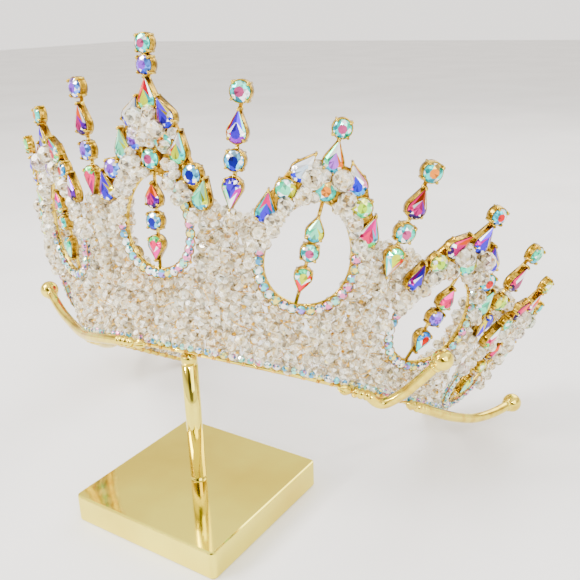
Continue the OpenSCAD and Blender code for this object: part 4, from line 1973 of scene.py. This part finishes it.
@dataclass(frozen=True)
class Scroll:
    """A leaf, three knots, a tube and a ball along the rim."""

    node: str
    start: float
    end: float
    out: float
    rise: float
    path: Path
    tube_d: float = 3.3
    ball_d: float = 6.6
    leaf_l: float = 5.0
    knots_l: float = 6.0
    steps: int = 14

    @property
    def offset(self) -> float:
        """Level distance of the centre line from the wall's mid surface."""
        return (CROWN.band_t / 2 + CROWN.tie_gap + self.tube_d / 2) / math.cos(math.radians(CROWN.flare))

    @property
    def way(self) -> float:
        """Sense of the scroll round the crown."""
        return math.copysign(1.0, self.end - self.start)

    @property
    def reach(self) -> float:
        """Degrees taken by the leaf and the knots."""
        return math.degrees((self.leaf_l + self.knots_l) / (CROWN.rim_r + self.offset))

    def point(self, part: Sequence[float], origin: float) -> Vector:
        """A point of the centre line in the crown's own frame."""
        angle = math.radians(origin + (self.end - origin) * part[0])
        z = CROWN.bar_z + (self.rise - CROWN.bar_z) * part[2]
        r = CROWN.rim_r + self.offset + z * math.tan(math.radians(CROWN.flare)) + self.out * part[1]
        return Vector((r * math.sin(angle), -r * math.cos(angle), z))

    def build(self, gold: bpy.types.Material) -> bpy.types.Object:
        """Builds the scroll in place of its solid."""
        draft = MeshDraft()
        place = CROWN.on_stand()
        origin = self.start + self.way * (self.reach - 0.3)
        rows = len(self.path.value) - 1
        parts = [self.path.at(row, k / self.steps) for row in range(rows) for k in range(self.steps)]
        line = [self.point(part, origin) for part in parts + [self.path.value[-1]]]
        draft.tube(line, self.tube_d / 2, 20, place)
        draft.ball(line[-1], self.ball_d / 2, place, 32)
        along = (line[-1] - line[-6]).normalized()
        neck = line[-1] - along * (self.ball_d / 2 - 0.1)
        radii = (self.tube_d / 2 + 0.1, self.tube_d / 2 + 0.5, self.tube_d / 2 + 0.1)
        draft.tube([neck - along * 0.7, neck, neck + along * 0.7], radii, 20, place)
        self._leaf(draft, place, origin, line[0])
        piece = draft.build(f"{self.node}_polished", gold)
        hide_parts(self.node)
        return piece

    def _leaf(self, draft: MeshDraft, place: Matrix, origin: float, first: Vector) -> None:
        """Adds the fluted leaf and the three knots."""
        middle = math.radians(origin - self.way * self.reach / 2)
        radius = math.hypot(first.x, first.y)
        turn = Matrix.Rotation(middle, 4, "Z") @ Matrix.Translation((0, -radius, first.z))
        turn = turn @ Matrix.Rotation(self.way * math.pi / 2, 4, "Y")
        turn = turn @ Matrix.Translation((0, 0, -(self.leaf_l + self.knots_l) / 2))
        profile = []
        for k in range(13):
            s = k / 12
            radius = self.tube_d * (0.1 + 0.36 * math.sin(math.pi * s) ** 0.9)
            profile.append((radius, self.leaf_l * s, 1.0 - s**3))
        for k in range(1, 25):
            s = k / 24
            radius = self.tube_d * (0.34 + 0.18 * abs(math.sin(3 * math.pi * s)))
            profile.append((radius, self.leaf_l + self.knots_l * s, 0.0))
        rings = []
        for r, z, flute in profile:
            ring = []
            for k in range(40):
                a = 2 * math.pi * k / 40
                grown = r * (1 + 0.1 * flute * math.cos(8 * a))
                ring.append(Vector((grown * math.cos(a), grown * math.sin(a), z)))
            rings.append(ring)
        draft.rings(rings, place @ turn)


@dataclass(frozen=True)
class DisplayStand:
    """Square plate with bevelled edges and a thin post with an open end."""

    side: float = 54.0
    plate_h: float = 9.0
    bevel: float = 0.6
    corner: float = 1.8
    post_d: float = 5.0
    post_open: float = 5.0
    post_wall: float = 0.7
    ring_cut: float = 0.4

    def plate(self, gold: bpy.types.Material) -> bpy.types.Object:
        """Builds the plate in place of its solid."""
        draft = MeshDraft()
        half = self.side / 2
        inner, rings = half - self.corner, []
        soft = self.bevel * 0.3
        profile = ((self.bevel, 0), (soft, soft), (0, self.bevel))
        levels = list(profile) + [(inset, self.plate_h - z) for inset, z in reversed(profile)]
        for inset, z in levels:
            ring = []
            for turn in range(4):
                for k in range(9):
                    a = math.radians(turn * 90 + k * 11.25)
                    x = math.copysign(inner, math.cos(math.radians(turn * 90 + 45)))
                    y = math.copysign(inner, math.sin(math.radians(turn * 90 + 45)))
                    r = self.corner - inset
                    ring.append(Vector((x + r * math.cos(a), y + r * math.sin(a), z)))
            rings.append(ring)
        draft.rings(rings, smooth=False)
        piece = draft.build("stand_plate_polished", gold)
        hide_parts("stand_plate")
        return piece

    def post(self, gold: bpy.types.Material) -> bpy.types.Object:
        """Builds the post, turned from its profile, in place of its solid."""
        top = CROWN.post_top
        r, bore, cut = self.post_d / 2, self.post_d / 2 - self.post_wall, self.post_d / 2 - self.ring_cut / 2
        low, high = self.plate_h + 0.6, top - 3
        profile = [(r, self.plate_h - 3.9)]
        for ring in (low, high):
            profile += [(r, ring - 0.05), (cut, ring + 0.05)]
            profile += [(cut, ring + self.ring_cut - 0.05), (r, ring + self.ring_cut + 0.05)]
        profile += [(r, top - 0.15), (r - 0.15, top), (bore + 0.1, top), (bore, top - 0.1)]
        profile.append((bore, top - self.post_open))
        draft = MeshDraft()
        turn = circle(48)
        draft.rings([[Vector((radius * c, radius * s, z)) for c, s in turn] for radius, z in profile])
        piece = draft.build("stand_post_polished", gold)
        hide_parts("stand_post")
        return piece


# The whole part


def named(names: str) -> tuple[Glow, ...]:
    """Turns names in a row into their colours."""
    return tuple(Glow[name] for name in names.split())


def side_arch(node: str, tine: int, glows: str, finial: str, **ring: float) -> Arch:
    """Makes a side arch.

    Args:
        node: Its node.
        tine: Its number round the crown.
        glows: Names of its stones' colours, in the order of side_seats.
        finial: Names of the finial's colours, from the top.
        **ring: Where its row of small stones ends and how many there are.

    Returns:
        The arch.
    """
    return Arch(node, tine, side_seats(*named(glows)), named(finial), **ring)


ARCHES = (
    Arch(
        "front_arch",
        0,
        FRONT_SEATS,
        named("AQUA_ROSE LAVENDER RED_MINT"),
        half_w=10.0,
        half_h=13.4,
        last_ring_stone=430.0,
        ring_stones=25,
        fan=(
            (1.02, 0.36),
            (1.84, 0.46),
            (1.78, 0.84),
            (1.50, 1.20),
            (1.14, 1.70),
            (0.80, 2.40),
            (0.28, 2.60),
        ),
    ),
    side_arch(
        "arch_right_1",
        2,
        "PEACH_AQUA MINT CITRUS CLEAR_BLUE PINK_BLUE DEEP_BLUE HOT_PINK MINT AQUA_ROSE RED_MINT",
        "AQUA_ROSE LILAC_GOLD",
        last_ring_stone=386.0,
        ring_stones=20,
    ),
    side_arch(
        "arch_right_2",
        4,
        "MINT CITRUS CYAN_RED MAGENTA VIOLET VIOLET MINT HOT_PINK LAVENDER CYAN_RED",
        "CYAN_RED VIOLET",
        last_ring_stone=424.0,
        ring_stones=25,
    ),
    side_arch(
        "arch_right_3",
        6,
        "PEACH_AQUA MINT LAVENDER MAGENTA MINT HOT_PINK MINT MAGENTA CITRUS MINT",
        "CITRUS MAGENTA",
    ),
    side_arch(
        "arch_left_1",
        -2,
        "LAVENDER PEACH_AQUA CYAN_RED MAGENTA HOT_PINK MINT MAGENTA HOT_PINK PEACH_AQUA MINT",
        "PEACH_AQUA VIOLET",
    ),
    side_arch(
        "arch_left_2",
        -4,
        "MINT LAVENDER PEACH_AQUA VIOLET MAGENTA CLEAR_BLUE MINT LILAC_GOLD MINT HOT_PINK",
        "CITRUS BLUE_MAGENTA",
    ),
    side_arch(
        "arch_left_3",
        -6,
        "AQUA_ROSE MINT CITRUS LILAC_GOLD MINT VIOLET MAGENTA MINT NAVY HOT_PINK",
        "AQUA_ROSE MAGENTA",
    ),
)
SPIKES = (
    Spike("spike_right_1", 1, named("AQUA_ROSE INDIGO NAVY BLUE_MAGENTA")),
    Spike("spike_right_2", 3, named("PEACH_AQUA MAGENTA AQUA_ROSE RED_MINT")),
    Spike("spike_right_3", 5, named("MINT MAGENTA CITRUS VIOLET")),
    Spike("spike_right_4", 7, named("PEACH_AQUA HOT_PINK MINT LILAC_GOLD")),
    Spike("spike_left_1", -1, named("LAVENDER MAGENTA LAVENDER HOT_PINK")),
    Spike("spike_left_2", -3, named("CITRUS VIOLET MINT MAGENTA")),
    Spike("spike_left_3", -5, named("MINT BLUE_MAGENTA AQUA_ROSE RED_MINT")),
    Spike("spike_left_4", -7, named("AQUA_ROSE MAGENTA CITRUS PINK_BLUE")),
)
SCROLLS = (
    Scroll("scroll_front_left", -6, -62, 9.0, 12.5, Path.LONG),
    Scroll("scroll_front_right", 46, 62.5, 9.0, 12.5, Path.SHORT),
    Scroll("scroll_back_right", 68, 107, 17.0, 8.0, Path.BACK),
    Scroll("scroll_back_left", -68, -107, 17.0, 8.0, Path.BACK),
)


def keep(piece: bpy.types.Object) -> None:
    """Lets a piece ride on the part and reports it.

    Args:
        piece: The finished piece.
    """
    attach(piece, BODY)
    log.info("%s: %d faces", piece.name, len(piece.data.polygons))


def main() -> None:
    """Builds the studio, the stand and the crown."""
    logging.basicConfig(level=logging.INFO, format="%(name)s: %(message)s")
    PhotoCamera().build()
    Studio().build()
    polished = PolishedGold().make("polished_gold")
    cast = CastGold().make("cast_gold")
    wire = CastGold(base=0xF0C03C, deep=0xAA7420, roughness=0.2, toned=False).make("wire_gold")
    scroll_cast = CastGold(base=0xF4DC54, deep=0xDAB83C, roughness=0.03, grain=300.0, depth=0.00001)
    scroll_gold = scroll_cast.make("scroll_gold")
    crystal = ClearCrystal().make("clear_crystal")
    coated = CoatedCrystal().make("coated_crystal")
    sparkle = SparkleCrystal().make("sparkle_crystal")

    scatter = scatter_tree()
    stand = DisplayStand()
    keep(stand.plate(polished))
    keep(stand.post(polished))
    for arch in ARCHES:
        keep(arch.casting(cast))
        keep(arch.cut_stones(coated))
        ring_stones = small_stones(f"{arch.node}_ring_stones", arch.ring_places(), 1.35, 1.5, sparkle)
        keep(ring_stones)
        keep(shoulder_beads(arch, crystal))
        keep(fan_beads(arch, scatter, crystal))
    for spike in SPIKES:
        keep(spike.casting(cast))
        keep(spike.cut_stones(coated))
    keep(stem_beads(SPIKES, crystal))
    for scroll in SCROLLS:
        keep(scroll.build(scroll_gold))
    rim = Rim()
    keep(rim.bar(scroll_gold))
    keep(rim.ties(wire))
    keep(small_stones("rim_stones", rim.stone_places(), 1.05, 1.3, sparkle))
    beads_outer, beads_inner, net, crimps = BeadWall(ARCHES).build(scatter, crystal, wire)
    keep(beads_outer)
    keep(beads_inner)
    keep(net)
    keep(crimps)


if __name__ == "__main__":
    main()
